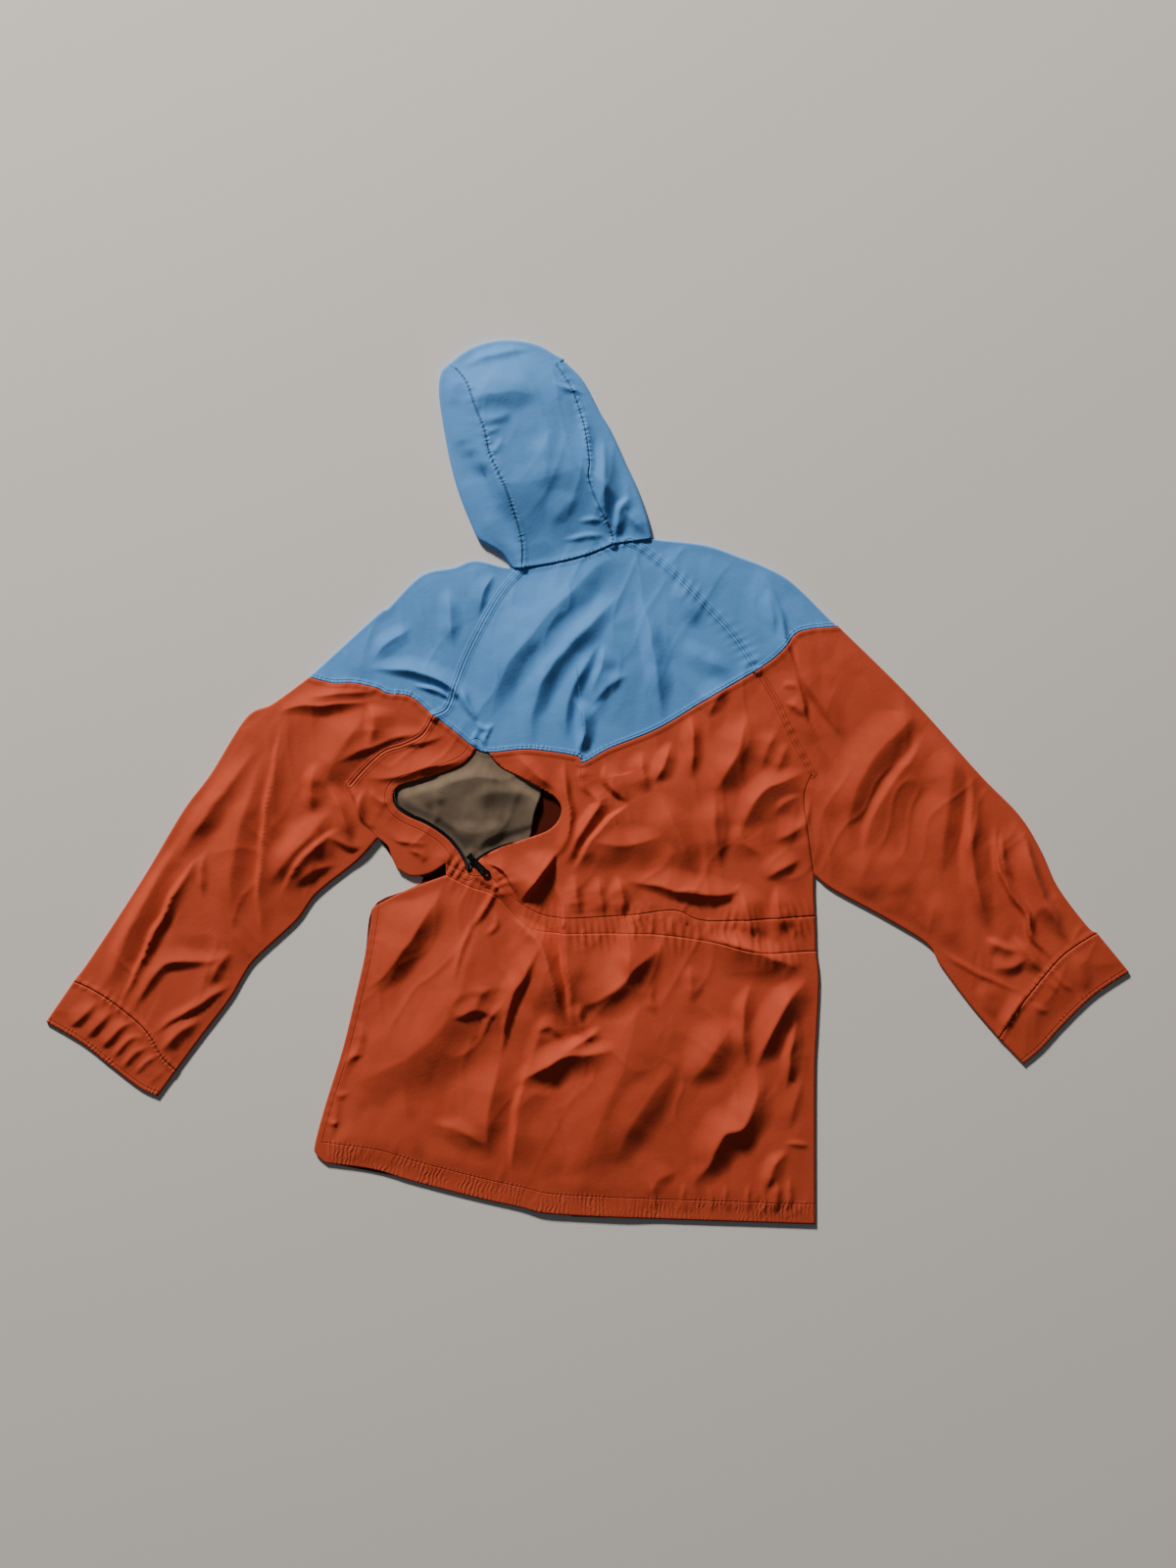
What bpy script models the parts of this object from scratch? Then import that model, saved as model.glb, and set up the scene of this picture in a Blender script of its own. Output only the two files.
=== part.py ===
"""Hooded parka laid flat on its front, with the back up. Metres, +Z up.

Seams and folds are drawn on a plan whose unit is PLAN_UNIT, with x to the right and y
down the garment. Pieces that share a seam read it from the same table, so their edges
match, and each edge is set back by half the seam gap.
"""

import math
from collections import namedtuple

import bmesh
import bpy
import numpy as np

# ---- driving dimensions (metres) ----
PLAN_UNIT = 0.00116
PLAN_CENTRE = (599.5, 798.4)
CLOTH = 0.0012
SEAM_GAP = 0.0003
LAYER_GAP = 0.0003
EDGE_RADIUS = 0.0022
HOOD_EDGE_RADIUS = 0.0042
BODY_LEVEL = 0.0064
HOOD_LEVEL = 0.0240
EDGE_RISE = 0.040
HOOD_RISE = 0.055
NECK_RISE = 0.075
FRONT_OVERLAP = 17.0
GATHER_HEIGHT = 0.0016
LEAST_FLANK = 9.0
LINING_MARGIN = 1.12
LINING_BILLOW = 0.0030
LINING_ROOM = 0.0022
FLOOR_SLOPE = 0.35
FLOOR_MARGIN = 0.0002
RIM_FADE = 0.018
OVERLAP_RAMP = 0.010
OVERLAP_LEDGE = 0.002
TAPE_WIDTH = 0.0055
TAPE_LEVEL = 0.0060
TAPE_DROP = 0.0006
SLIDER_WIDTH = 0.0080
SLIDER_LENGTH = 0.0120
SLIDER_PLATE = 0.0014
SLIDER_FOOT = (0.0050, 0.0056, 0.0010)
SLIDER_POST = 0.0006
SLIDER_ROUNDING = 0.0005
BRIDGE_SPAN = 0.0064
BRIDGE_CLEAR = 0.0028
BRIDGE_LEG = 0.0012
BRIDGE_BAR = 0.0011
JOIN = 0.0001
TAB_LENGTH = 0.0265
TAB_WIDTH = 0.0084
TAB_THICKNESS = 0.0016
TAB_GAP = 0.0005
TAB_WINDOW = (0.0044, 0.0032)
TAB_RING = 0.0050
TAB_RING_HOLE = 0.0028
TAB_RING_THICKNESS = 0.0015
TAB_RING_OVERHANG = 0.0020
TAB_ANGLE = math.radians(-46)
SLIDER_PLACE = (481.5, 876)
MOUTH_CENTRE = (490, 826)
CUTTER_HEIGHT = 0.08

# ---- seams: how many steps a seam is divided into, and the plan points it runs through ----
Seam = namedtuple("Seam", "steps points")
SEAMS = {
    "neck_centre": Seam(8, ((533, 580), (566, 575), (598, 567), (625, 556))),
    "neck_right": Seam(2, ((625, 556), (642, 553))),
    "neck_corner_left": Seam(3, ((533, 580), (519, 580))),
    "neck_corner_right": Seam(3, ((642, 553), (666, 550))),
    "hood_corner_left": Seam(3, ((533, 580), (522, 580))),
    "raglan_left": Seam(
        11, ((533, 580), (512, 604), (493, 636), (477, 668), (467, 693), (457, 722), (443, 731))
    ),
    "raglan_right": Seam(11, ((642, 553), (655, 559), (687, 585), (719, 617), (748, 648), (773, 684))),
    "shoulder_left": Seam(
        11, ((519, 580), (485, 572), (463, 579), (430, 587), (396, 620), (385, 627), (315, 691))
    ),
    "shoulder_right": Seam(
        11, ((666, 550), (719, 556), (757, 569), (780, 578), (808, 594), (847, 632), (856, 639))
    ),
    "cap_hem_left": Seam(
        9, ((443, 731), (419, 711), (396, 708), (384, 702), (360, 697), (339, 697), (315, 691))
    ),
    "cap_hem_right": Seam(9, ((773, 684), (790, 672), (803, 659), (812, 647), (827, 642), (856, 639))),
    "yoke_hem": Seam(
        26,
        (
            (443, 731),
            (462, 745),
            (484, 763),
            (500, 768),
            (540, 765),
            (589, 772),
            (594, 779),
            (622, 764),
            (671, 744),
            (718, 716),
            (773, 684),
        ),
    ),
    "armhole_left": Seam(6, ((443, 731), (431, 750), (412, 760), (392, 767), (372, 785), (357, 802))),
    "armhole_right": Seam(6, ((773, 684), (791, 713), (807, 748), (829, 789))),
    "underarm_left": Seam(4, ((357, 802), (366, 822), (372, 840), (386, 855))),
    "underarm_right": Seam(4, ((829, 789), (822, 806), (821, 824), (825, 850), (831, 893))),
    "lobe_left": Seam(4, ((386, 855), (396, 864), (400, 876), (406, 887))),
    "side_right_upper": Seam(4, ((831, 893), (831, 912), (832, 935))),
    "lobe_hem": Seam(3, ((406, 887), (421, 894), (439, 891), (455, 881))),
    "casing_top": Seam(
        23,
        (
            (455, 881), (480, 893), (503, 897), (530, 921),
            (566, 936), (640, 934), (689, 929), (724, 940), (832, 935),
        ),
    ),
    "casing_bottom": Seam(
        23,
        (
            (455, 893), (480, 905), (505, 914), (530, 938),
            (560, 951), (661, 953), (724, 961), (773, 972), (833, 971),
        ),
    ),
    "casing_left": Seam(2, ((455, 881), (455, 893))),
    "casing_right": Seam(2, ((832, 935), (833, 971))),
    "skirt_shoulder": Seam(5, ((380, 926), (415, 908), (455, 893))),
    "skirt_left": Seam(
        16,
        (
            (380, 926),
            (377, 948),
            (371, 980),
            (362, 1019),
            (349, 1072),
            (331, 1130),
            (321, 1168),
            (322, 1178),
            (332, 1187),
        ),
    ),
    "skirt_right": Seam(16, ((833, 971), (836, 1000), (834, 1050), (832, 1099), (832, 1250))),
    "hem": Seam(
        28, ((332, 1187), (382, 1194), (418, 1205), (479, 1221), (529, 1232), (586, 1241), (832, 1250))
    ),
    "inseam_left": Seam(
        14,
        (
            (386, 855), (364, 879), (323, 912), (302, 940),
            (261, 978), (248, 996), (234, 1020), (205, 1058), (179, 1093),
        ),
    ),
    "inseam_right": Seam(
        14, ((831, 893), (850, 908), (900, 935), (946, 963), (960, 985), (990, 1025), (1020, 1060))
    ),
    "sleeve_outer_left": Seam(
        24,
        ((315, 691), (278, 718), (251, 732), (215, 789), (186, 828), (143, 900), (92, 978), (75, 1001)),
    ),
    "sleeve_outer_right": Seam(
        24,
        (
            (856, 639), (930, 712), (1000, 790), (1040, 831),
            (1062, 866), (1080, 905), (1110, 945), (1120, 952),
        ),
    ),
    "cuff_seam_left": Seam(9, ((179, 1093), (165, 1079), (152, 1056), (134, 1038), (103, 1015), (75, 1001))),
    "cuff_seam_right": Seam(
        9, ((1020, 1060), (1035, 1037), (1049, 1017), (1079, 981), (1097, 966), (1120, 952))
    ),
    "cuff_hem_left": Seam(9, ((160, 1119), (141, 1110), (112, 1088), (83, 1065), (46, 1043))),
    "cuff_hem_right": Seam(9, ((1045, 1086), (1064, 1070), (1084, 1048), (1116, 1017), (1153, 992))),
    "cuff_inner_left": Seam(3, ((179, 1093), (160, 1119))),
    "cuff_inner_right": Seam(3, ((1020, 1060), (1045, 1086))),
    "cuff_outer_left": Seam(3, ((75, 1001), (46, 1043))),
    "cuff_outer_right": Seam(3, ((1120, 952), (1153, 992))),
    "hood_seam_left": Seam(
        12,
        (
            (533, 580), (533, 552), (521, 511), (510, 486),
            (501, 466), (496, 443), (486, 418), (477, 393), (465, 377),
        ),
    ),
    "hood_seam_right": Seam(
        12,
        (
            (625, 556), (625, 546), (609, 514), (601, 489),
            (602, 473), (598, 443), (593, 423), (584, 398), (568, 373),
        ),
    ),
    "hood_edge_left": Seam(
        12,
        (
            (522, 580),
            (513, 566),
            (499, 557),
            (488, 550),
            (481, 536),
            (470, 509),
            (462, 483),
            (456, 456),
            (448, 406),
            (450, 380),
            (459, 371),
        ),
    ),
    "hood_edge_right": Seam(
        12,
        (
            (666, 550), (660, 526), (650, 497), (637, 469),
            (624, 440), (612, 420), (601, 398), (591, 383), (573, 366),
        ),
    ),
    "crown": Seam(8, ((459, 371), (472, 360), (488, 352), (513, 347), (546, 351), (573, 366))),
    "crown_corner_left": Seam(1, ((465, 377), (459, 371))),
    "crown_corner_right": Seam(1, ((568, 373), (573, 366))),
    "face_edge_left": Seam(12, ((590, 616), (586, 572), (560, 522), (528, 470), (508, 430), (497, 402))),
    "face_edge_right": Seam(12, ((590, 616), (600, 572), (603, 520), (592, 470), (575, 430), (553, 402))),
    "face_top": Seam(8, ((497, 402), (525, 394), (553, 402))),
    "face_corner_left": Seam(6, ((459, 371), (497, 402))),
    "face_corner_right": Seam(6, ((573, 366), (553, 402))),
    "front_neck_left": Seam(3, ((533, 580), (545, 600), (565, 612), (590, 616))),
    "front_neck_right": Seam(3, ((642, 553), (632, 580), (612, 604), (590, 616))),
    "front_centre_upper": Seam(11, ((590, 616), (592, 765))),
    "front_centre_lower": Seam(22, ((592, 765), (600, 1242))),
    "front_yoke_hem_left": Seam(3, ((443, 731), (592, 765))),
    "front_yoke_hem_right": Seam(3, ((592, 765), (773, 684))),
    "front_side_left": Seam(
        12,
        (
            (386, 855),
            (400, 876),
            (406, 887),
            (434, 897),
            (413, 909),
            (380, 926),
            (371, 980),
            (349, 1072),
            (331, 1130),
            (321, 1168),
            (322, 1178),
            (332, 1187),
        ),
    ),
    "front_side_right": Seam(
        12, ((831, 893), (833, 971), (836, 1000), (834, 1050), (832, 1099), (832, 1250))
    ),
    "front_hem_left": Seam(5, ((332, 1187), (418, 1205), (479, 1221), (529, 1232), (600, 1242))),
    "front_hem_right": Seam(5, ((600, 1242), (832, 1250))),
    "mouth_left": Seam(
        18,
        (
            (485, 762),
            (483, 771),
            (471, 782),
            (438, 791),
            (414, 800),
            (408, 810),
            (412, 820),
            (422, 831),
            (440, 841),
            (458, 855),
            (476, 880),
        ),
    ),
    "mouth_right": Seam(
        18,
        (
            (498, 762), (500, 771), (511, 783), (547, 803), (565, 811),
            (572, 822), (568, 838), (557, 850), (515, 862), (487, 880),
        ),
    ),
}

# ---- folds: a crest (or, with a height below 0, a trough) along a plan path. before is the
# width of the flank on the left or upper side, after the one on the right or lower side ----
Fold = namedtuple("Fold", "path before after height_mm")
FOLDS = (
    # yoke and caps
    Fold(((610, 560), (594, 600), (545, 650), (512, 705), (497, 742)), 32, 20, 5.0),
    Fold(((648, 592), (604, 635), (572, 672), (545, 720), (536, 755)), 26, 16, 7.0),
    Fold(((614, 655), (590, 692), (583, 730), (586, 760)), 20, 12, 6.0),
    Fold(((652, 640), (625, 690), (607, 742)), 20, 14, 4.0),
    Fold(((655, 607), (665, 655), (671, 703)), 14, 14, 2.5),
    Fold(((382, 684), (440, 687), (472, 710), (486, 738)), 12, 12, 4.0),
    Fold(((457, 600), (459, 630), (461, 662)), 14, 12, 2.5),
    Fold(((700, 640), (722, 672), (735, 700)), 16, 14, 2.5),
    # right sleeve: the sleeve drops along the edge of its own fold
    Fold(((774, 580), (790, 610), (802, 655), (812, 690), (824, 735), (838, 764), (850, 784)), 26, 8, 7.0),
    Fold(((930, 712), (908, 750), (880, 795), (862, 830), (862, 868)), 26, 20, 7.0),
    Fold(((948, 745), (966, 785), (962, 830), (958, 905)), 26, 18, 6.0),
    Fold(((994, 835), (1002, 900), (1015, 950), (1012, 1005)), 16, 12, 5.0),
    Fold(((815, 684), (835, 720), (868, 760)), 14, 14, 2.5),
    Fold(((1040, 834), (1060, 895), (1073, 936), (1096, 966)), 14, 10, 6.0),
    Fold(((1024, 849), (1029, 896), (1049, 932), (1078, 981)), 12, 9, 5.0),
    Fold(((1020, 940), (1040, 965), (1064, 994)), 9, 9, 4.0),
    # left sleeve
    Fold(((288, 727), (323, 721), (372, 719)), 10, 13, 4.0),
    Fold(((262, 738), (256, 785), (246, 830), (240, 885), (228, 935)), 30, 24, 5.0),
    Fold(((374, 726), (348, 765), (320, 822)), 36, 34, 7.0),
    Fold(((156, 900), (128, 960), (103, 1015)), 14, 12, 5.0),
    Fold(((190, 911), (152, 975), (120, 1027)), 12, 10, 5.0),
    Fold(((181, 975), (165, 987), (147, 1012), (134, 1038)), 9, 9, 4.0),
    Fold(((244, 999), (219, 1016), (185, 1036), (153, 1056)), 9, 9, 3.0),
    Fold(((380, 763), (358, 776), (340, 786)), 16, 9, 3.5),
    # bodice, left of the zip opening
    Fold(((398, 797), (440, 779), (480, 766)), 20, 9, 5.0),
    Fold(((386, 840), (425, 856), (462, 874)), 12, 18, 5.0),
    Fold(((368, 805), (372, 822), (378, 838)), 9, 9, 3.0),
    # bodice, right of the opening
    Fold(((536, 770), (548, 788), (562, 806)), 12, 18, 3.5),
    Fold(((578, 775), (581, 828), (568, 874)), 18, 12, 6.0),
    Fold(((487, 876), (507, 887), (520, 903), (530, 922)), 7, 22, 6.0),
    Fold(((570, 872), (549, 900), (530, 922)), 24, 7, 6.0),
    Fold(((628, 810), (597, 833), (578, 880)), 16, 14, 7.0),
    Fold(((662, 778), (667, 795), (668, 812)), 12, 10, 2.5),
    Fold(((686, 763), (676, 785), (668, 806)), 14, 10, 3.0),
    Fold(((710, 735), (709, 765), (708, 797)), 14, 10, 3.5),
    Fold(((760, 733), (744, 775), (728, 804)), 20, 12, 5.0),
    Fold(((805, 793), (772, 818), (767, 845), (785, 871), (818, 845)), 11, 11, -4.0),
    Fold(((727, 815), (731, 850), (738, 884)), 16, 11, 4.0),
    Fold(((676, 816), (688, 856), (708, 888)), 18, 12, 5.0),
    Fold(((628, 850), (650, 858), (668, 848)), 10, 16, 3.0),
    Fold(((583, 890), (594, 934)), 9, 9, 3.0),
    Fold(((606, 886), (617, 934)), 9, 9, 3.5),
    Fold(((627, 888), (637, 934)), 9, 9, 4.0),
    Fold(((690, 912), (720, 909), (752, 914)), 16, 11, 4.0),
    Fold(((757, 900), (763, 930), (770, 962)), 14, 22, 5.0),
    Fold(((806, 886), (799, 915), (803, 958)), 12, 18, 4.0),
    # skirt: the right half overlaps the left in one large pleat
    Fold(((552, 896), (567, 927), (570, 965), (574, 1004), (586, 1060)), 9, 38, 8.0),
    Fold(((545, 905), (556, 930), (563, 960)), 14, 10, -4.0),
    Fold(((670, 966), (645, 1003), (612, 1028), (586, 1054)), 40, 15, 8.0),
    Fold(((628, 1066), (595, 1074), (560, 1090), (524, 1100)), 20, 18, 6.0),
    Fold(((527, 1100), (512, 1140), (511, 1190)), 24, 12, 3.0),
    Fold(((452, 910), (425, 955), (380, 1012)), 28, 14, 5.0),
    Fold(((484, 928), (440, 1005), (392, 1090)), 22, 30, 6.0),
    Fold(((545, 962), (527, 1005), (510, 1058)), 20, 12, 4.0),
    Fold(((637, 934), (640, 965), (641, 1000)), 20, 18, 4.0),
    Fold(((682, 1010), (660, 1090), (634, 1160), (608, 1218)), 38, 50, 8.0),
    Fold(((712, 962), (765, 978), (816, 992)), 12, 26, 6.0),
    Fold(((702, 985), (704, 1005), (706, 1028)), 14, 18, 4.0),
    Fold(((824, 1003), (797, 1045), (776, 1092)), 14, 14, 7.0),
    Fold(((757, 1013), (760, 1050), (760, 1088)), 18, 12, 5.0),
    Fold(((802, 1030), (765, 1095), (735, 1150), (698, 1204)), 30, 24, 8.0),
    Fold(((803, 1166), (787, 1185), (770, 1208)), 14, 12, 3.0),
    Fold(((440, 1143), (475, 1154), (517, 1143)), 16, 11, 3.0),
    Fold(((411, 1105), (414, 1142), (433, 1180)), 16, 10, 2.5),
    # hood
    Fold(((456, 447), (472, 466), (496, 497), (516, 526), (530, 549)), 12, 11, -7.0),
    Fold(((629, 452), (622, 489), (621, 506), (624, 541)), 11, 12, -6.0),
    Fold(((488, 418), (510, 411), (530, 410), (548, 416)), 12, 12, -4.0),
    Fold(((566, 533), (576, 522), (588, 509)), 9, 12, 3.0),
    Fold(((637, 524), (652, 536), (664, 549)), 9, 9, 3.0),
)

# ---- outlines: where the garment's edge is a fold of cloth, and where it is a seam ----
FOLDED_EDGES = ("shoulder_left", "shoulder_right", "sleeve_outer_left", "sleeve_outer_right")
FOLDED_EDGES += ("cuff_outer_left", "cuff_outer_right")
HOOD_EDGES = ("hood_edge_left", "hood_edge_right", "crown")
SEWN_EDGES = ("inseam_left", "inseam_right", "lobe_left", "lobe_hem", "skirt_shoulder", "skirt_left")
SEWN_EDGES += ("skirt_right", "hem", "side_right_upper", "cuff_inner_left", "cuff_inner_right")
SEWN_EDGES += ("cuff_hem_left", "cuff_hem_right", "casing_right")
NECK_EDGES = ("neck_corner_left", "neck_centre", "neck_right", "neck_corner_right")

# ---- colours (linear) ----
BLUE = (0.115, 0.270, 0.475)
RUST = (0.400, 0.068, 0.018)
BEIGE = (0.270, 0.215, 0.135)
BLACK = (0.006, 0.006, 0.007)
GUNMETAL = (0.045, 0.045, 0.050)


# ---- plan geometry ----
def on_table(points):
    """Plan points as an array of table places in metres, y turned to point up the garment."""
    grid = np.asarray(points, dtype=float).reshape(-1, 2)
    return np.column_stack((grid[:, 0] - PLAN_CENTRE[0], PLAN_CENTRE[1] - grid[:, 1])) * PLAN_UNIT


def smooth_path(points, extra=8):
    """A Catmull-Rom curve through the points, as a fine polyline."""
    ring = np.asarray(points, dtype=float)
    if len(ring) < 3:
        return ring
    padded = np.vstack((2 * ring[0] - ring[1], ring, 2 * ring[-1] - ring[-2]))
    fine = [ring[0]]
    for a, b, c, d in zip(padded, padded[1:], padded[2:], padded[3:]):
        for step in range(1, extra + 1):
            t = step / extra
            fine.append(
                0.5
                * (2 * b + (c - a) * t + (2 * a - 5 * b + 4 * c - d) * t**2 + (3 * b - a - 3 * c + d) * t**3)
            )
    return np.array(fine)


def evenly(points, steps):
    """The polyline divided into steps of equal length."""
    lengths = np.concatenate(([0.0], np.cumsum(np.linalg.norm(np.diff(points, axis=0), axis=1))))
    marks = np.linspace(0.0, lengths[-1], steps + 1)
    return np.column_stack([np.interp(marks, lengths, points[:, axis]) for axis in (0, 1)])


def seam(name, finer=1):
    """The seam's places on the table. finer divides each step again without moving it."""
    table = SEAMS[name]
    places = evenly(smooth_path(on_table(table.points)), table.steps)
    if finer == 1:
        return places
    marks = np.linspace(0, table.steps, table.steps * finer + 1)
    whole = np.arange(table.steps + 1)
    return np.column_stack([np.interp(marks, whole, places[:, axis]) for axis in (0, 1)])


def chain(*runs):
    """Seams end to end as one line."""
    return np.vstack([runs[0]] + [run[1:] for run in runs[1:]])


def patch(near, far, start, end):
    """Coons patch: rows run along near and far, columns along start and end."""
    rows = len(near)
    columns = len(start)
    a = np.linspace(0.0, 1.0, columns)[None, :, None]
    b = np.linspace(0.0, 1.0, rows)[:, None, None]
    across = (1 - a) * near[:, None] + a * far[:, None]
    along = (1 - b) * start[None] + b * end[None]
    corners = (1 - b) * ((1 - a) * near[0] + a * far[0]) + b * ((1 - a) * near[-1] + a * far[-1])
    return across + along - corners


def set_back(grid, sides):
    """Moves the named edges of a grid of places inwards by half the seam gap."""
    moved = grid.copy()
    edges = {
        "start": (grid[0], grid[1] - grid[0], (0, slice(None))),
        "end": (grid[-1], grid[-2] - grid[-1], (-1, slice(None))),
        "near": (grid[:, 0], grid[:, 1] - grid[:, 0], (slice(None), 0)),
        "far": (grid[:, -1], grid[:, -2] - grid[:, -1], (slice(None), -1)),
    }
    for side in sides:
        line, inward, place = edges[side]
        tangent = np.gradient(line, axis=0)
        normal = np.column_stack((-tangent[:, 1], tangent[:, 0]))
        normal /= np.linalg.norm(normal, axis=1)[:, None] + 1e-12
        normal *= np.sign(np.sum(normal * inward))
        moved[place] += normal * SEAM_GAP / 2
    return moved


# ---- height of the upper cloth ----
def distance_to(line, places):
    """Distance from each place to the line, the nearest point's share of the length, and its side."""
    best = np.full(len(places), 1e9)
    share = np.zeros(len(places))
    side = np.zeros(len(places))
    lengths = np.linalg.norm(np.diff(line, axis=0), axis=1)
    total = lengths.sum()
    run = 0.0
    for start, end, length in zip(line, line[1:], lengths):
        if length < 1e-9:
            continue
        along = (end - start) / length
        reach = np.clip((places - start) @ along, 0.0, length)
        off = places - (start + reach[:, None] * along)
        distance = np.linalg.norm(off, axis=1)
        nearer = distance < best
        best[nearer] = distance[nearer]
        share[nearer] = (run + reach[nearer]) / total
        side[nearer] = np.sign(along[0] * off[nearer, 1] - along[1] * off[nearer, 0])
        run += length
    return best, share, side


def ease(t):
    t = np.clip(t, 0.0, 1.0)
    return t * t * (3 - 2 * t)


def fold_height(fold, places):
    line = smooth_path(on_table(fold.path), 4)
    distance, share, side = distance_to(line, places)
    chord = line[-1] - line[0]
    left_or_up = np.array((-1.0, 0.0)) if abs(chord[1]) > abs(chord[0]) else np.array((0.0, 1.0))
    before_sign = np.sign(chord[0] * left_or_up[1] - chord[1] * left_or_up[0])
    before = max(fold.before, LEAST_FLANK)
    after = max(fold.after, LEAST_FLANK)
    widths = np.where(side == before_sign, before, after) * PLAN_UNIT
    profile = 1 - ease(distance / widths)
    taper = ease(np.minimum(share, 1 - share) * 4 + 0.25)
    return fold.height_mm / 1000 * profile * taper


def edge_distance(names, places):
    return np.min([distance_to(seam(name), places)[0] for name in names], axis=0)


def overlap_lift(places):
    """How far the overlap of the fronts lifts what lies on it."""
    centre = on_table(((596, 900),))[0, 0]
    off_centre = np.abs(places[:, 0] - centre) / PLAN_UNIT - FRONT_OVERLAP
    return (CLOTH + LAYER_GAP) * ease(1.6 - off_centre / 40)


def floor_height(places, rim):
    """Lowest the upper cloth's outer face may lie: clear of the fronts, their overlap and the pocket lining.

    rim is each place's distance from the garment's edge, where the cloth lies flattest.
    """
    flattest = 2 * CLOTH + LAYER_GAP + FLOOR_MARGIN
    lowest = np.minimum(CLOTH + LAYER_GAP + CLOTH * 1.5, flattest + rim * FLOOR_SLOPE)
    lowest += overlap_lift(places)
    mouth = on_table((MOUTH_CENTRE,))[0]
    reach = np.abs(places - mouth) / PLAN_UNIT / np.array((115.0, 92.0))
    lowest += LINING_ROOM * ease((1.35 - np.linalg.norm(reach, axis=1)) * 4)
    return lowest


def garment_height(places, hood=False):
    """Outer height of the upper cloth over each place."""
    if hood:
        rise = ease(edge_distance(HOOD_EDGES, places) / HOOD_RISE)
        level = 2 * HOOD_EDGE_RADIUS + (HOOD_LEVEL - 2 * HOOD_EDGE_RADIUS) * rise
        neck = ease(edge_distance(NECK_EDGES, places) / NECK_RISE)
        level = np.minimum(level, BODY_LEVEL + 0.001 + (HOOD_LEVEL - BODY_LEVEL) * neck)
    else:
        rise = ease(edge_distance(FOLDED_EDGES, places) / EDGE_RISE)
        folded = 2 * EDGE_RADIUS + (BODY_LEVEL - 2 * EDGE_RADIUS) * rise
        low = 2 * CLOTH + LAYER_GAP + FLOOR_MARGIN
        sewn = low + (BODY_LEVEL - low) * ease(edge_distance(SEWN_EDGES, places) / EDGE_RISE)
        level = np.minimum(folded, sewn)
    folds = sum(fold_height(fold, places) for fold in FOLDS)
    rim = edge_distance(HOOD_EDGES if hood else FOLDED_EDGES + SEWN_EDGES, places)
    folds = folds * ease(rim / RIM_FADE)
    lowest = floor_height(places, rim)
    above = level + folds - lowest
    return lowest + 0.5 * (above + np.sqrt(above**2 + 0.001**2))


# ---- cloth walls ----
def surface(grid, height):
    return np.dstack((grid, height.reshape(grid.shape[:2])))


def cloth_wall(name, outer, inner, colour):
    """Closed wall between two grids of points of the same size."""
    rows, columns = outer.shape[:2]
    mesh_build = bmesh.new()
    faces = [[mesh_build.verts.new(point) for point in row] for row in outer]
    backs = [[mesh_build.verts.new(point) for point in row] for row in inner]
    for j in range(rows - 1):
        for i in range(columns - 1):
            face = mesh_build.faces.new((faces[j][i], faces[j][i + 1], faces[j + 1][i + 1], faces[j + 1][i]))
            back = mesh_build.faces.new((backs[j][i], backs[j + 1][i], backs[j + 1][i + 1], backs[j][i + 1]))
            face.smooth = back.smooth = True
    rim = [(0, i) for i in range(columns)] + [(j, columns - 1) for j in range(1, rows)]
    rim += [(rows - 1, i) for i in range(columns - 2, -1, -1)] + [(j, 0) for j in range(rows - 2, 0, -1)]
    for (j, i), (k, m) in zip(rim, rim[1:] + rim[:1]):
        mesh_build.faces.new((faces[k][m], faces[j][i], backs[j][i], backs[k][m]))
    bmesh.ops.recalc_face_normals(mesh_build, faces=mesh_build.faces)
    mesh = bpy.data.meshes.new(name)
    mesh_build.to_mesh(mesh)
    mesh_build.free()
    return add_piece(name, mesh, colour, roughness=0.75)


def steepness(grid, height):
    """How much longer the wall is measured upright than across, from the slope at each point."""
    rise_row = np.gradient(height, axis=0) / (np.linalg.norm(np.gradient(grid, axis=0), axis=2) + 1e-9)
    rise_column = np.gradient(height, axis=1) / (np.linalg.norm(np.gradient(grid, axis=1), axis=2) + 1e-9)
    return np.clip(np.sqrt(1 + rise_row**2 + rise_column**2), 1.0, 1.5)


def upper_sheet(name, grid, colour, gathers=0.0):
    """One panel of the upper cloth."""
    grid = set_back(grid, ("start", "end", "near", "far"))
    height = garment_height(grid.reshape(-1, 2)).reshape(grid.shape[:2])
    if gathers:
        height = height + gathers * (np.arange(grid.shape[1]) % 2)[None, :]
    wall = CLOTH * steepness(grid, height)
    if gathers:
        wall = np.full_like(height, CLOTH)
    return cloth_wall(name, surface(grid, height), surface(grid, height - wall), colour)


def lower_sheet(name, grid, lift, colour):
    """One panel of the cloth that rests on the table. lift raises its columns."""
    grid = set_back(grid, ("start", "end", "near", "far"))
    base = np.broadcast_to(lift, grid.shape[:2])
    return cloth_wall(name, surface(grid, base + CLOTH), surface(grid, base), colour)


def shoulder_line(outline, start, end, radius):
    """Where the cloth starts to round over the outline, and the way inwards there."""
    tangent = np.gradient(outline, axis=0)
    inward = np.column_stack((-tangent[:, 1], tangent[:, 0]))
    inward /= np.linalg.norm(inward, axis=1)[:, None]
    middle = (start[0] + end[0]) / 2 - outline.mean(axis=0)
    inward *= np.sign(np.sum(inward * middle))
    for row, line in ((0, start), (-1, end)):
        along = line[-2] - line[-1]
        inward[row] = along / np.linalg.norm(along)
    return outline + inward * radius, inward


def trimmed(line, shoulder, radius):
    """The line ended at the shoulder. A finely stepped one is straight, so it is divided anew."""
    if np.linalg.norm(line[-2] - line[-1]) < radius:
        return np.linspace(line[0], shoulder, len(line))
    return np.vstack((line[:-1], shoulder))


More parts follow.
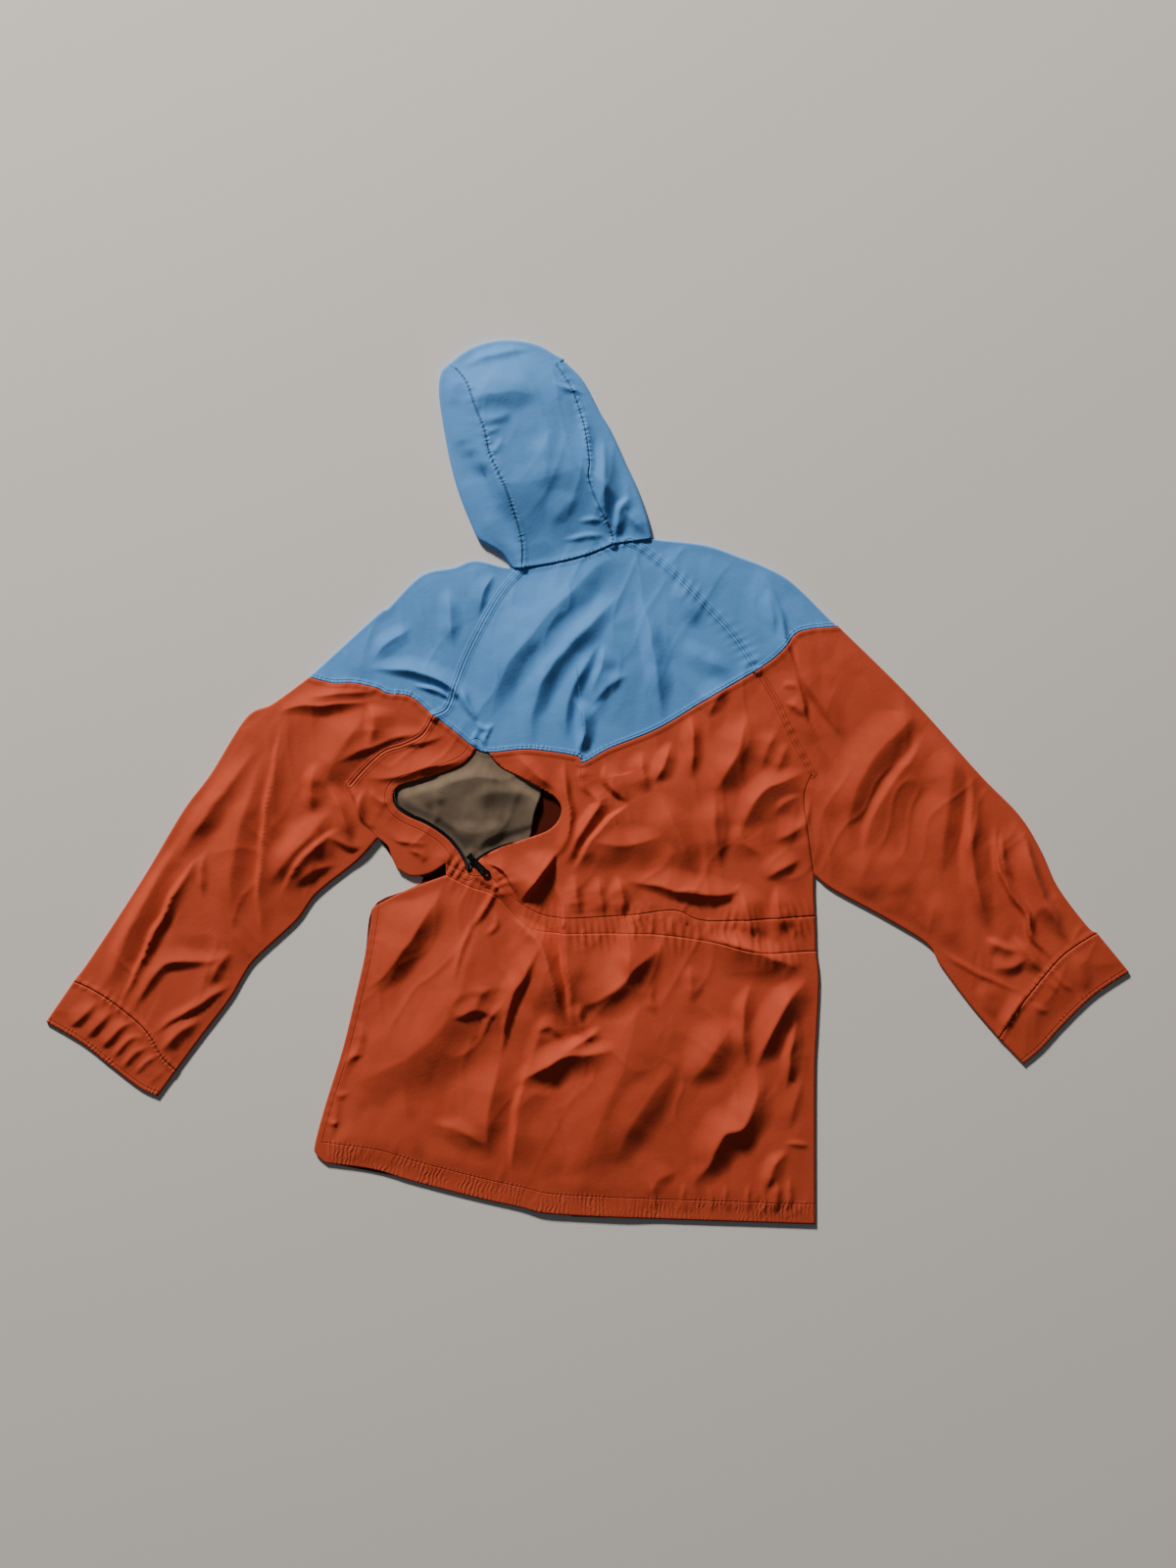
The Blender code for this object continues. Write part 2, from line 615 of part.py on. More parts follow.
def folded_sheet(name, outline, upper, under, radius, colour, hood=False, arc=3):
    """A piece that lies on top, folds over at the outline and runs back underneath.

    upper and under each give near, start and end: the far seam of that layer, and the two
    seams that run from it out to the outline. start and end are listed from the far seam.
    """
    layers = []
    for near, start, end in (upper, under):
        shoulder, inward = shoulder_line(outline, start, end, radius)
        start = trimmed(start, shoulder[0], radius)
        end = trimmed(end, shoulder[-1], radius)
        layers.append(set_back(patch(near, shoulder, start, end), ("start", "end", "near")))
    top, bottom = layers
    top_height = garment_height(top.reshape(-1, 2), hood).reshape(top.shape[:2])
    wall = CLOTH * steepness(top, top_height)
    wall[:, -1] = CLOTH
    outer = [surface(top, top_height)]
    inner = [surface(top, top_height - wall)]
    crest = top_height[:, -1]
    angles = np.linspace(math.pi / 2, -math.pi / 2, arc + 2)[1:-1]
    for angle in angles:
        for shell, across, tall in ((outer, radius, crest / 2), (inner, radius - CLOTH, crest / 2 - CLOTH)):
            place = top[:, -1] - inward * across * math.cos(angle)
            shell.append(np.column_stack((place, crest / 2 + tall * math.sin(angle)))[:, None])
    flat = np.zeros(bottom.shape[:2])
    outer.append(surface(bottom, flat)[:, ::-1])
    inner.append(surface(bottom, flat + CLOTH)[:, ::-1])
    return cloth_wall(name, np.hstack(outer), np.hstack(inner), colour)


# ---- objects ----
def clear_scene():
    for item in list(bpy.data.objects):
        bpy.data.objects.remove(item, do_unlink=True)


def collection(name):
    group = bpy.data.collections.new(name)
    bpy.context.scene.collection.children.link(group)
    return group


def add_piece(name, mesh, colour, roughness=0.5, metallic=0.0):
    material = bpy.data.materials.new(name)
    material.use_nodes = True
    shader = material.node_tree.nodes["Principled BSDF"]
    shader.inputs["Base Color"].default_value = (*colour, 1)
    shader.inputs["Roughness"].default_value = roughness
    shader.inputs["Metallic"].default_value = metallic
    mesh.materials.append(material)
    piece = bpy.data.objects.new(name, mesh)
    PARKA.objects.link(piece)
    return piece


# ---- pieces ----
def make_hood():
    """A middle strip and two sides, folded over the outline and ending underneath at the face opening."""
    left = seam("hood_seam_left")
    right = seam("hood_seam_right")
    corner_left = seam("crown_corner_left")
    corner_right = seam("crown_corner_right")
    folded_sheet(
        "hood_centre",
        seam("crown"),
        (seam("neck_centre"), chain(left, corner_left), chain(right, corner_right)),
        (seam("face_top"), seam("face_corner_left")[::-1], seam("face_corner_right")[::-1]),
        HOOD_EDGE_RADIUS,
        BLUE,
        hood=True,
    )
    folded_sheet(
        "hood_side_left",
        seam("hood_edge_left"),
        (left, evenly(seam("hood_corner_left"), 5), evenly(corner_left, 5)),
        (
            seam("face_edge_left"),
            chain(seam("front_neck_left")[::-1], seam("hood_corner_left")),
            seam("face_corner_left")[::-1],
        ),
        HOOD_EDGE_RADIUS,
        BLUE,
        hood=True,
    )
    folded_sheet(
        "hood_side_right",
        seam("hood_edge_right"),
        (right, chain(seam("neck_right"), seam("neck_corner_right")), evenly(corner_right, 5)),
        (
            seam("face_edge_right"),
            chain(seam("front_neck_right")[::-1], seam("neck_corner_right")),
            seam("face_corner_right")[::-1],
        ),
        HOOD_EDGE_RADIUS,
        BLUE,
        hood=True,
    )


def make_back_yoke():
    """The pointed yoke between the two raglan seams."""
    top = chain(seam("neck_centre", 2), seam("neck_right", 5))
    upper_sheet(
        "back_yoke",
        patch(seam("raglan_left"), seam("raglan_right"), top, seam("yoke_hem")),
        BLUE,
    )


def make_sleeve(side):
    """The blue cap, the rust sleeve and the cuff of one side."""
    raglan = seam("raglan_" + side)
    neck = seam("neck_corner_" + side)
    cap_hem = seam("cap_hem_" + side)
    folded_sheet(
        "sleeve_cap_" + side,
        seam("shoulder_" + side),
        (raglan, evenly(neck, 9), cap_hem),
        (raglan, neck, evenly(cap_hem, 3)),
        EDGE_RADIUS,
        BLUE,
    )
    inner = chain(seam("armhole_" + side), seam("underarm_" + side), seam("inseam_" + side))
    cuff_seam = seam("cuff_seam_" + side)
    folded_sheet(
        "sleeve_" + side,
        seam("sleeve_outer_" + side),
        (inner, cap_hem, cuff_seam),
        (inner, evenly(cap_hem, 3), evenly(cuff_seam, 3)),
        EDGE_RADIUS,
        RUST,
    )
    cuff_inner = seam("cuff_inner_" + side)
    cuff_hem = seam("cuff_hem_" + side)
    folded_sheet(
        "cuff_" + side,
        seam("cuff_outer_" + side),
        (cuff_inner, cuff_seam, cuff_hem),
        (cuff_inner, evenly(cuff_seam, 3), evenly(cuff_hem, 3)),
        EDGE_RADIUS,
        RUST,
    )


def make_back():
    """The bodice with its zip opening, the gathered waist casing and the skirt."""
    left = chain(seam("armhole_left"), seam("underarm_left"), seam("lobe_left"))
    right = chain(seam("armhole_right"), seam("underarm_right"), seam("side_right_upper"))
    bottom = chain(seam("lobe_hem"), seam("casing_top"))
    bodice = upper_sheet("back_bodice", patch(left, right, seam("yoke_hem"), bottom), RUST)
    cut_mouth(bodice)
    upper_sheet(
        "waist_casing",
        patch(seam("casing_left"), seam("casing_right"), seam("casing_top", 4), seam("casing_bottom", 4)),
        RUST,
        gathers=GATHER_HEIGHT,
    )
    top = chain(seam("skirt_shoulder"), seam("casing_bottom"))
    upper_sheet("back_skirt", patch(seam("skirt_left"), seam("skirt_right"), top, seam("hem")), RUST)


def make_fronts():
    """The hidden fronts and their yokes. The left side lies flat; the right overlaps it on the inside."""
    overlap = np.array((FRONT_OVERLAP * PLAN_UNIT, 0.0))
    upper = seam("front_centre_upper")
    lower = seam("front_centre_lower")
    widening = ease(np.linspace(0.0, 2.5, len(upper)))[:, None] * overlap
    yoke_hem = seam("front_yoke_hem_left")
    hem = slid(yoke_hem, overlap, False)
    yoke_left = patch(seam("raglan_left"), upper + widening, seam("front_neck_left"), hem)
    lower_sheet("front_yoke_left", yoke_left, 0.0, BLUE)
    left = chain(seam("armhole_left"), seam("underarm_left"), seam("front_side_left"))
    top = slid(evenly(yoke_hem, 5), overlap, False)
    bottom = slid(seam("front_hem_left"), overlap, False)
    lower_sheet("front_left", patch(left, lower + overlap, top, bottom), 0.0, RUST)
    yoke_hem = seam("front_yoke_hem_right")
    neck = seam("front_neck_right")[::-1]
    yoke_right = patch(upper - widening, seam("raglan_right"), neck, slid(yoke_hem, -overlap, True))
    lower_sheet("front_yoke_right", *overlapping(yoke_right, 2 * widening[:, :1]), BLUE)
    right = chain(seam("armhole_right"), seam("underarm_right"), seam("front_side_right"))
    top = slid(evenly(yoke_hem, 5), -overlap, True)
    bottom = slid(seam("front_hem_right"), -overlap, True)
    front = patch(lower - overlap, right, top, bottom)
    lower_sheet("front_right", *overlapping(front, 2 * overlap[0]), RUST)


def overlapping(grid, reach):
    """The grid with columns added beside its first edge, and each column's lift over the other front."""
    first = grid[:, 0]
    along = grid[:, 1] - first
    along /= np.linalg.norm(along, axis=1)[:, None]
    flat_edge = first + along * (reach + OVERLAP_LEDGE)
    ramp_foot = first + along * (reach + OVERLAP_LEDGE + OVERLAP_RAMP)
    added = np.stack((flat_edge, ramp_foot), axis=1)
    widened = np.concatenate((grid[:, :1], added, grid[:, 1:]), axis=1)
    lift = np.zeros(widened.shape[1])
    lift[:2] = CLOTH + LAYER_GAP
    return widened, lift


def slid(line, shift, from_start):
    """The line stretched so that one end moves by the shift and the other stays."""
    share = np.linspace(1.0, 0.0, len(line)) if from_start else np.linspace(0.0, 1.0, len(line))
    return line + share[:, None] * shift


def mouth_outline():
    return np.vstack((seam("mouth_left"), seam("mouth_right")[::-1]))


def make_lining():
    """The pocket lining that shows through the zip opening, a little larger than it all round."""
    middle = on_table((MOUTH_CENTRE,))[0]
    left, right = (
        middle + (evenly(seam(name), 12) - middle) * LINING_MARGIN for name in ("mouth_left", "mouth_right")
    )
    grid = patch(left, right, np.linspace(left[0], right[0], 7), np.linspace(left[-1], right[-1], 7))
    places = grid.reshape(-1, 2)
    edge = np.minimum(distance_to(left, places)[0], distance_to(right, places)[0])
    lift = CLOTH + LAYER_GAP + overlap_lift(places) + LINING_BILLOW * ease((edge - 0.018) / 0.02)
    lower_sheet("pocket_lining", grid, lift.reshape(grid.shape[:2]), BEIGE)


def slider_seat():
    """Lowest level of the slider's upper plate: just above the cloth round it and under its pull."""
    centre = on_table((SLIDER_PLACE,))[0]
    spread = np.linspace(0.0, 2 * math.pi, 12, endpoint=False)
    around = centre + SLIDER_LENGTH * 0.6 * np.column_stack((np.cos(spread), np.sin(spread)))
    seat = garment_height(around).max() + LAYER_GAP
    reach = np.linspace(0.006, TAB_LENGTH + TAB_RING, 10)[:, None]
    along = np.array((math.cos(TAB_ANGLE), math.sin(TAB_ANGLE)))
    aside = np.array((-along[1], along[0])) * TAB_WIDTH / 2
    beneath = np.vstack([centre + along * reach + aside * side for side in (-1, 0, 1)])
    return max(seat, garment_height(beneath).max() + LAYER_GAP - SLIDER_PLATE)


def make_tapes(seat):
    """The two zip tapes, each a narrow strip along one side of the opening."""
    middle = on_table((MOUTH_CENTRE,))[0]
    for side in ("left", "right"):
        line = seam("mouth_" + side)[1:]
        tangent = np.gradient(line, axis=0)
        inward = np.column_stack((-tangent[:, 1], tangent[:, 0]))
        inward /= np.linalg.norm(inward, axis=1)[:, None]
        inward *= np.sign(np.sum(inward * (middle - line)))
        grid = np.stack((line + inward * SEAM_GAP, line + inward * TAPE_WIDTH), axis=1)
        level = np.maximum(garment_height(line) - LAYER_GAP, TAPE_LEVEL)
        near_slider = ease((np.arange(len(line)) - len(line) + 4) / 2)
        level = level + (seat - LAYER_GAP - level) * near_slider
        height = np.column_stack((level, level - TAPE_DROP * (1 - near_slider)))
        cloth_wall("zip_tape_" + side, surface(grid, height), surface(grid, height - CLOTH), BLACK)


def block(size, place):
    """A box as a mesh, with its sizes and centre given."""
    build = bmesh.new()
    bmesh.ops.create_cube(build, size=1.0)
    bmesh.ops.scale(build, vec=size, verts=build.verts)
    bmesh.ops.translate(build, vec=place, verts=build.verts)
    return build


def rod(radius, length, place, sides=12):
    """A closed upright cylinder as a mesh, centred on its place."""
    build = bmesh.new()
    bmesh.ops.create_cone(
        build, cap_ends=True, segments=sides, radius1=radius, radius2=radius, depth=length
    )
    bmesh.ops.translate(build, vec=place, verts=build.verts)
    for face in build.faces:
        face.smooth = len(face.verts) == 4
    return build


def shaped(name, base, joined=(), cut=(), bevel=0.0):
    """The base mesh with others joined to it or cut from it, by Boolean modifiers."""
    mesh = bpy.data.meshes.new(name)
    base.to_mesh(mesh)
    base.free()
    piece = add_piece(name, mesh, GUNMETAL, roughness=0.35, metallic=0.8)
    if bevel:
        rounding = piece.modifiers.new("rounding", "BEVEL")
        rounding.width = bevel
        rounding.segments = 2
    steps = [("UNION", build) for build in joined] + [("DIFFERENCE", build) for build in cut]
    for number, (operation, other) in enumerate(steps):
        other_mesh = bpy.data.meshes.new(f"{name}_tool_{number}")
        other.to_mesh(other_mesh)
        other.free()
        tool = bpy.data.objects.new(other_mesh.name, other_mesh)
        tool.hide_render = True
        tool.display_type = "WIRE"
        tool.parent = piece
        CUTTERS.objects.link(tool)
        step = piece.modifiers.new(tool.name, "BOOLEAN")
        step.operation = operation
        step.object = tool
        step.solver = "EXACT"
    return piece


def make_slider(seat):
    """An upper plate on the tapes, a post between them, a foot below and a bridge for the pull."""
    plate = block((SLIDER_LENGTH, SLIDER_WIDTH, SLIDER_PLATE), (0, 0, SLIDER_PLATE / 2))
    foot_middle = -(2 * LAYER_GAP + CLOTH + SLIDER_FOOT[2] / 2)
    foot = block(SLIDER_FOOT, (0, 0, foot_middle))
    post = rod(SLIDER_POST, SLIDER_PLATE / 2 - foot_middle, (0, 0, SLIDER_PLATE / 4 + foot_middle / 2))
    leg_height = BRIDGE_CLEAR + BRIDGE_LEG
    leg_middle = SLIDER_PLATE + leg_height / 2 - JOIN
    leg_size = (BRIDGE_LEG, BRIDGE_LEG, leg_height)
    legs = [block(leg_size, (side * BRIDGE_SPAN / 2, 0, leg_middle)) for side in (-1, 1)]
    bar_middle = SLIDER_PLATE + BRIDGE_CLEAR + BRIDGE_LEG / 2 - JOIN
    bar = block((BRIDGE_SPAN, BRIDGE_BAR, BRIDGE_BAR), (0, 0, bar_middle))
    slider = shaped("zip_slider", plate, joined=(post, foot, *legs, bar), bevel=SLIDER_ROUNDING)
    x, y = on_table((SLIDER_PLACE,))[0]
    slider.location = (x, y, seat)
    slider.rotation_euler = (0, 0, TAB_ANGLE)


def make_pull_tab(seat):
    """A flat tab with a window round the bridge and a ring at its end. Its origin is on its hinge axis."""
    rise = TAB_THICKNESS / 2
    ring_middle = TAB_LENGTH - TAB_RING_OVERHANG
    tall = TAB_THICKNESS * 3
    body = block((TAB_LENGTH, TAB_WIDTH, TAB_THICKNESS), (TAB_LENGTH / 2 - rise, 0, 0))
    ring = rod(TAB_RING, TAB_RING_THICKNESS, (ring_middle, 0, 0), sides=24)
    hole = rod(TAB_RING_HOLE, tall, (ring_middle, 0, 0), sides=20)
    length, width = TAB_WINDOW
    window = block((length, width, tall), (rise + length / 2, 0, 0))
    tab = shaped("pull_tab", body, joined=(ring,), cut=(hole, window))
    x, y = on_table((SLIDER_PLACE,))[0]
    tab.location = (x, y, seat + SLIDER_PLATE + TAB_GAP + rise)
    tab.rotation_euler = (0, 0, TAB_ANGLE)


def cut_mouth(bodice):
    """Cuts the zip opening through the bodice, up to the yoke."""
    ring = mouth_outline()
    build = bmesh.new()
    low = [build.verts.new((x, y, -CUTTER_HEIGHT / 8)) for x, y in ring]
    face = build.faces.new(low)
    lifted = bmesh.ops.extrude_face_region(build, geom=[face])["geom"]
    top = [item for item in lifted if isinstance(item, bmesh.types.BMVert)]
    bmesh.ops.translate(build, verts=top, vec=(0, 0, CUTTER_HEIGHT))
    bmesh.ops.recalc_face_normals(build, faces=build.faces)
    mesh = bpy.data.meshes.new("mouth_cutter")
    build.to_mesh(mesh)
    build.free()
    cutter = bpy.data.objects.new("mouth_cutter", mesh)
    cutter.hide_render = True
    cutter.display_type = "WIRE"
    CUTTERS.objects.link(cutter)
    modifier = bodice.modifiers.new("zip_opening", "BOOLEAN")
    modifier.object = cutter
    modifier.solver = "EXACT"


clear_scene()
PARKA = collection("parka")
CUTTERS = collection("cutters")
make_hood()
make_back_yoke()
make_sleeve("left")
make_sleeve("right")
make_back()
make_fronts()
make_lining()
SEAT = slider_seat()
make_tapes(SEAT)
make_slider(SEAT)
make_pull_tab(SEAT)
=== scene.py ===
"""Finish of a hooded parka laid flat on its front, with the back up.

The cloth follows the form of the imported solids, with finer folds, puckers at the seams,
topstitching, a coil zip, its slider and its pull. Metres, +Z up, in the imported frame.
"""

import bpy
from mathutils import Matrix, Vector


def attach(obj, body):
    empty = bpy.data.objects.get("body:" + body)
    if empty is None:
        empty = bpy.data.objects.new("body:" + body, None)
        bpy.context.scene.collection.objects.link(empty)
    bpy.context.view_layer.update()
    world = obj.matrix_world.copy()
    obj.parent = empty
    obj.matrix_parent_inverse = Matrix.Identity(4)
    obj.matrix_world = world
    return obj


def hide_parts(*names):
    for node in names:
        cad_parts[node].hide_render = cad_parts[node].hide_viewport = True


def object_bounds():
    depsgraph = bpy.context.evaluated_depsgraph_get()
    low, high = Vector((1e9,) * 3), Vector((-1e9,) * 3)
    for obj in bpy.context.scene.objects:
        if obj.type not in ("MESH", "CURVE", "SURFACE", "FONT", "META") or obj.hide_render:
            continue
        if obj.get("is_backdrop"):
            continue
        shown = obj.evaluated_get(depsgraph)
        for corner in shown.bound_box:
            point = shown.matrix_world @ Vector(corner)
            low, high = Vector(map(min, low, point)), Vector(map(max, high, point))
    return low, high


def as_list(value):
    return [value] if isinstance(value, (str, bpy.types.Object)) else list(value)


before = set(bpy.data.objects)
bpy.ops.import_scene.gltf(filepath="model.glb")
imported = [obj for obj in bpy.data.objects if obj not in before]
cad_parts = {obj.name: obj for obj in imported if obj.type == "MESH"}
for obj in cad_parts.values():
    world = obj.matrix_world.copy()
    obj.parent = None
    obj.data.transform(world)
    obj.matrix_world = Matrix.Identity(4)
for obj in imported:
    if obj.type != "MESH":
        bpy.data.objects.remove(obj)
CAD_BOX = [list(corner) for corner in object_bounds()]

import math
from collections import namedtuple

import bmesh
import bpy
import numpy as np
from mathutils import Vector

# ---- sizes shared with the solids, in metres. MOUTH_CENTRE, OVERLAP_CENTRE, SLIDER_PLACE,
# LINING_HALF and FRONT_OVERLAP, half the overlap's width, are in plan units of one photo point ----
PLAN_UNIT = 0.00116
PLAN_CENTRE = (599.5, 798.4)
CLOTH = 0.0012
SEAM_GAP = 0.00015
LAYER_GAP = 0.0003
EDGE_RADIUS = 0.0022
HOOD_EDGE_RADIUS = 0.0042
BODY_LEVEL = 0.0064
HOOD_LEVEL = 0.0240
EDGE_RISE = 0.040
HOOD_RISE = 0.055
NECK_RISE = 0.115
FRONT_OVERLAP = 17.0
OVERLAP_CENTRE = (596, 900)
LINING_HALF = (115.0, 92.0)
LINING_MARGIN = 1.12
LINING_ROOM = 0.0022
FLOOR_SLOPE = 0.35
FLOOR_MARGIN = 0.0002
RIM_FADE = 0.018
OVERLAP_RAMP = 0.010
OVERLAP_LEDGE = 0.002
SLIDER_PLACE = (481.5, 876)
MOUTH_CENTRE = (490, 826)
SLIDER_SEAT = 0.0089337
SLIDER_LENGTH = 0.0120
SLIDER_WIDTH = 0.0080
SLIDER_PLATE = 0.0014
SLIDER_FOOT = (0.0050, 0.0056, 0.0010)
SLIDER_POST = 0.0006
BRIDGE_SPAN = 0.0064
BRIDGE_CLEAR = 0.0028
BRIDGE_LEG = 0.0012
BRIDGE_BAR = 0.0011
TAB_LENGTH = 0.0265
TAB_WIDTH = 0.0084
TAB_THICKNESS = 0.0016
TAB_GAP = 0.0005
TAB_WINDOW = (0.0044, 0.0032)
TAB_RING = 0.0050
TAB_RING_HOLE = 0.0028
TAB_RING_THICKNESS = 0.0015
TAB_RING_OVERHANG = 0.0020
TAB_ANGLE = math.radians(-46)
TAPE_WIDTH = 0.0120
TAPE_LEVEL = 0.0060

# ---- sizes of the finish, in metres where they aren't counts or shares ----
# how finely the meshes are divided
CLOTH_STEP = 0.0023
UNDER_STEPS = 8
FOLD_OVER_STEPS = 6
SEAM_STEPS = 60
YOKE_ROWS = 30
FRONT_ROWS = 60
FRONT_COLUMNS = 20
LINING_ROWS = 80
LINING_COLUMNS = 60
TAPE_ROWS = 110
TAPE_COLUMNS = 8
# cloth
SEAM_LAP = 0.0005
STEEPEST_WALL = 1.5
CRUMPLE_FADE = 0.012
FLOOR_BLEND = 0.001
LINING_SWELL = 0.0015
HELD_REACH = 0.014
HELD_FADE = 0.009
WEAVE_PITCH = 0.0011
LOT_SPREAD = 43758.5453
# topstitching, in mm: from a seam to each row of thread, and the spacing of the small puckers
THREAD_OFFSET = 3.5
STITCH_PUCKER = 5.2
# zip
TAPE_CLOTH = 0.0008
TAPE_REACH = 0.0058
TAPE_RISE_START = 0.93
TAPE_RISE_SPAN = 0.05
RIB_PITCH = 0.0011
COIL_PITCH = 0.0014
COIL_WIDTH = 0.0026
COIL_HEIGHT = 0.0011
TOOTH_SHARE = 0.62
TOOTH_END = 0.7
NARROW_END = 0.72
PLATE_RIM = 0.0009
PLATE_SINK = 0.25
TAB_NARROW_END = 0.8
TAB_RIM = 0.0011
TAB_SINK = 0.0004
CAST_ROUNDING = 0.0002
RING_SIDES = 40
HOLE_SIDES = 32
# backdrop and camera
BACKDROP_HALF = 3
PHOTO_CENTRE = (600, 800)
PHOTO_HEIGHT = 1600
CAMERA_HEIGHT = 2.3
LEVEL_IN_VIEW = 0.006
SENSOR_MM = 36

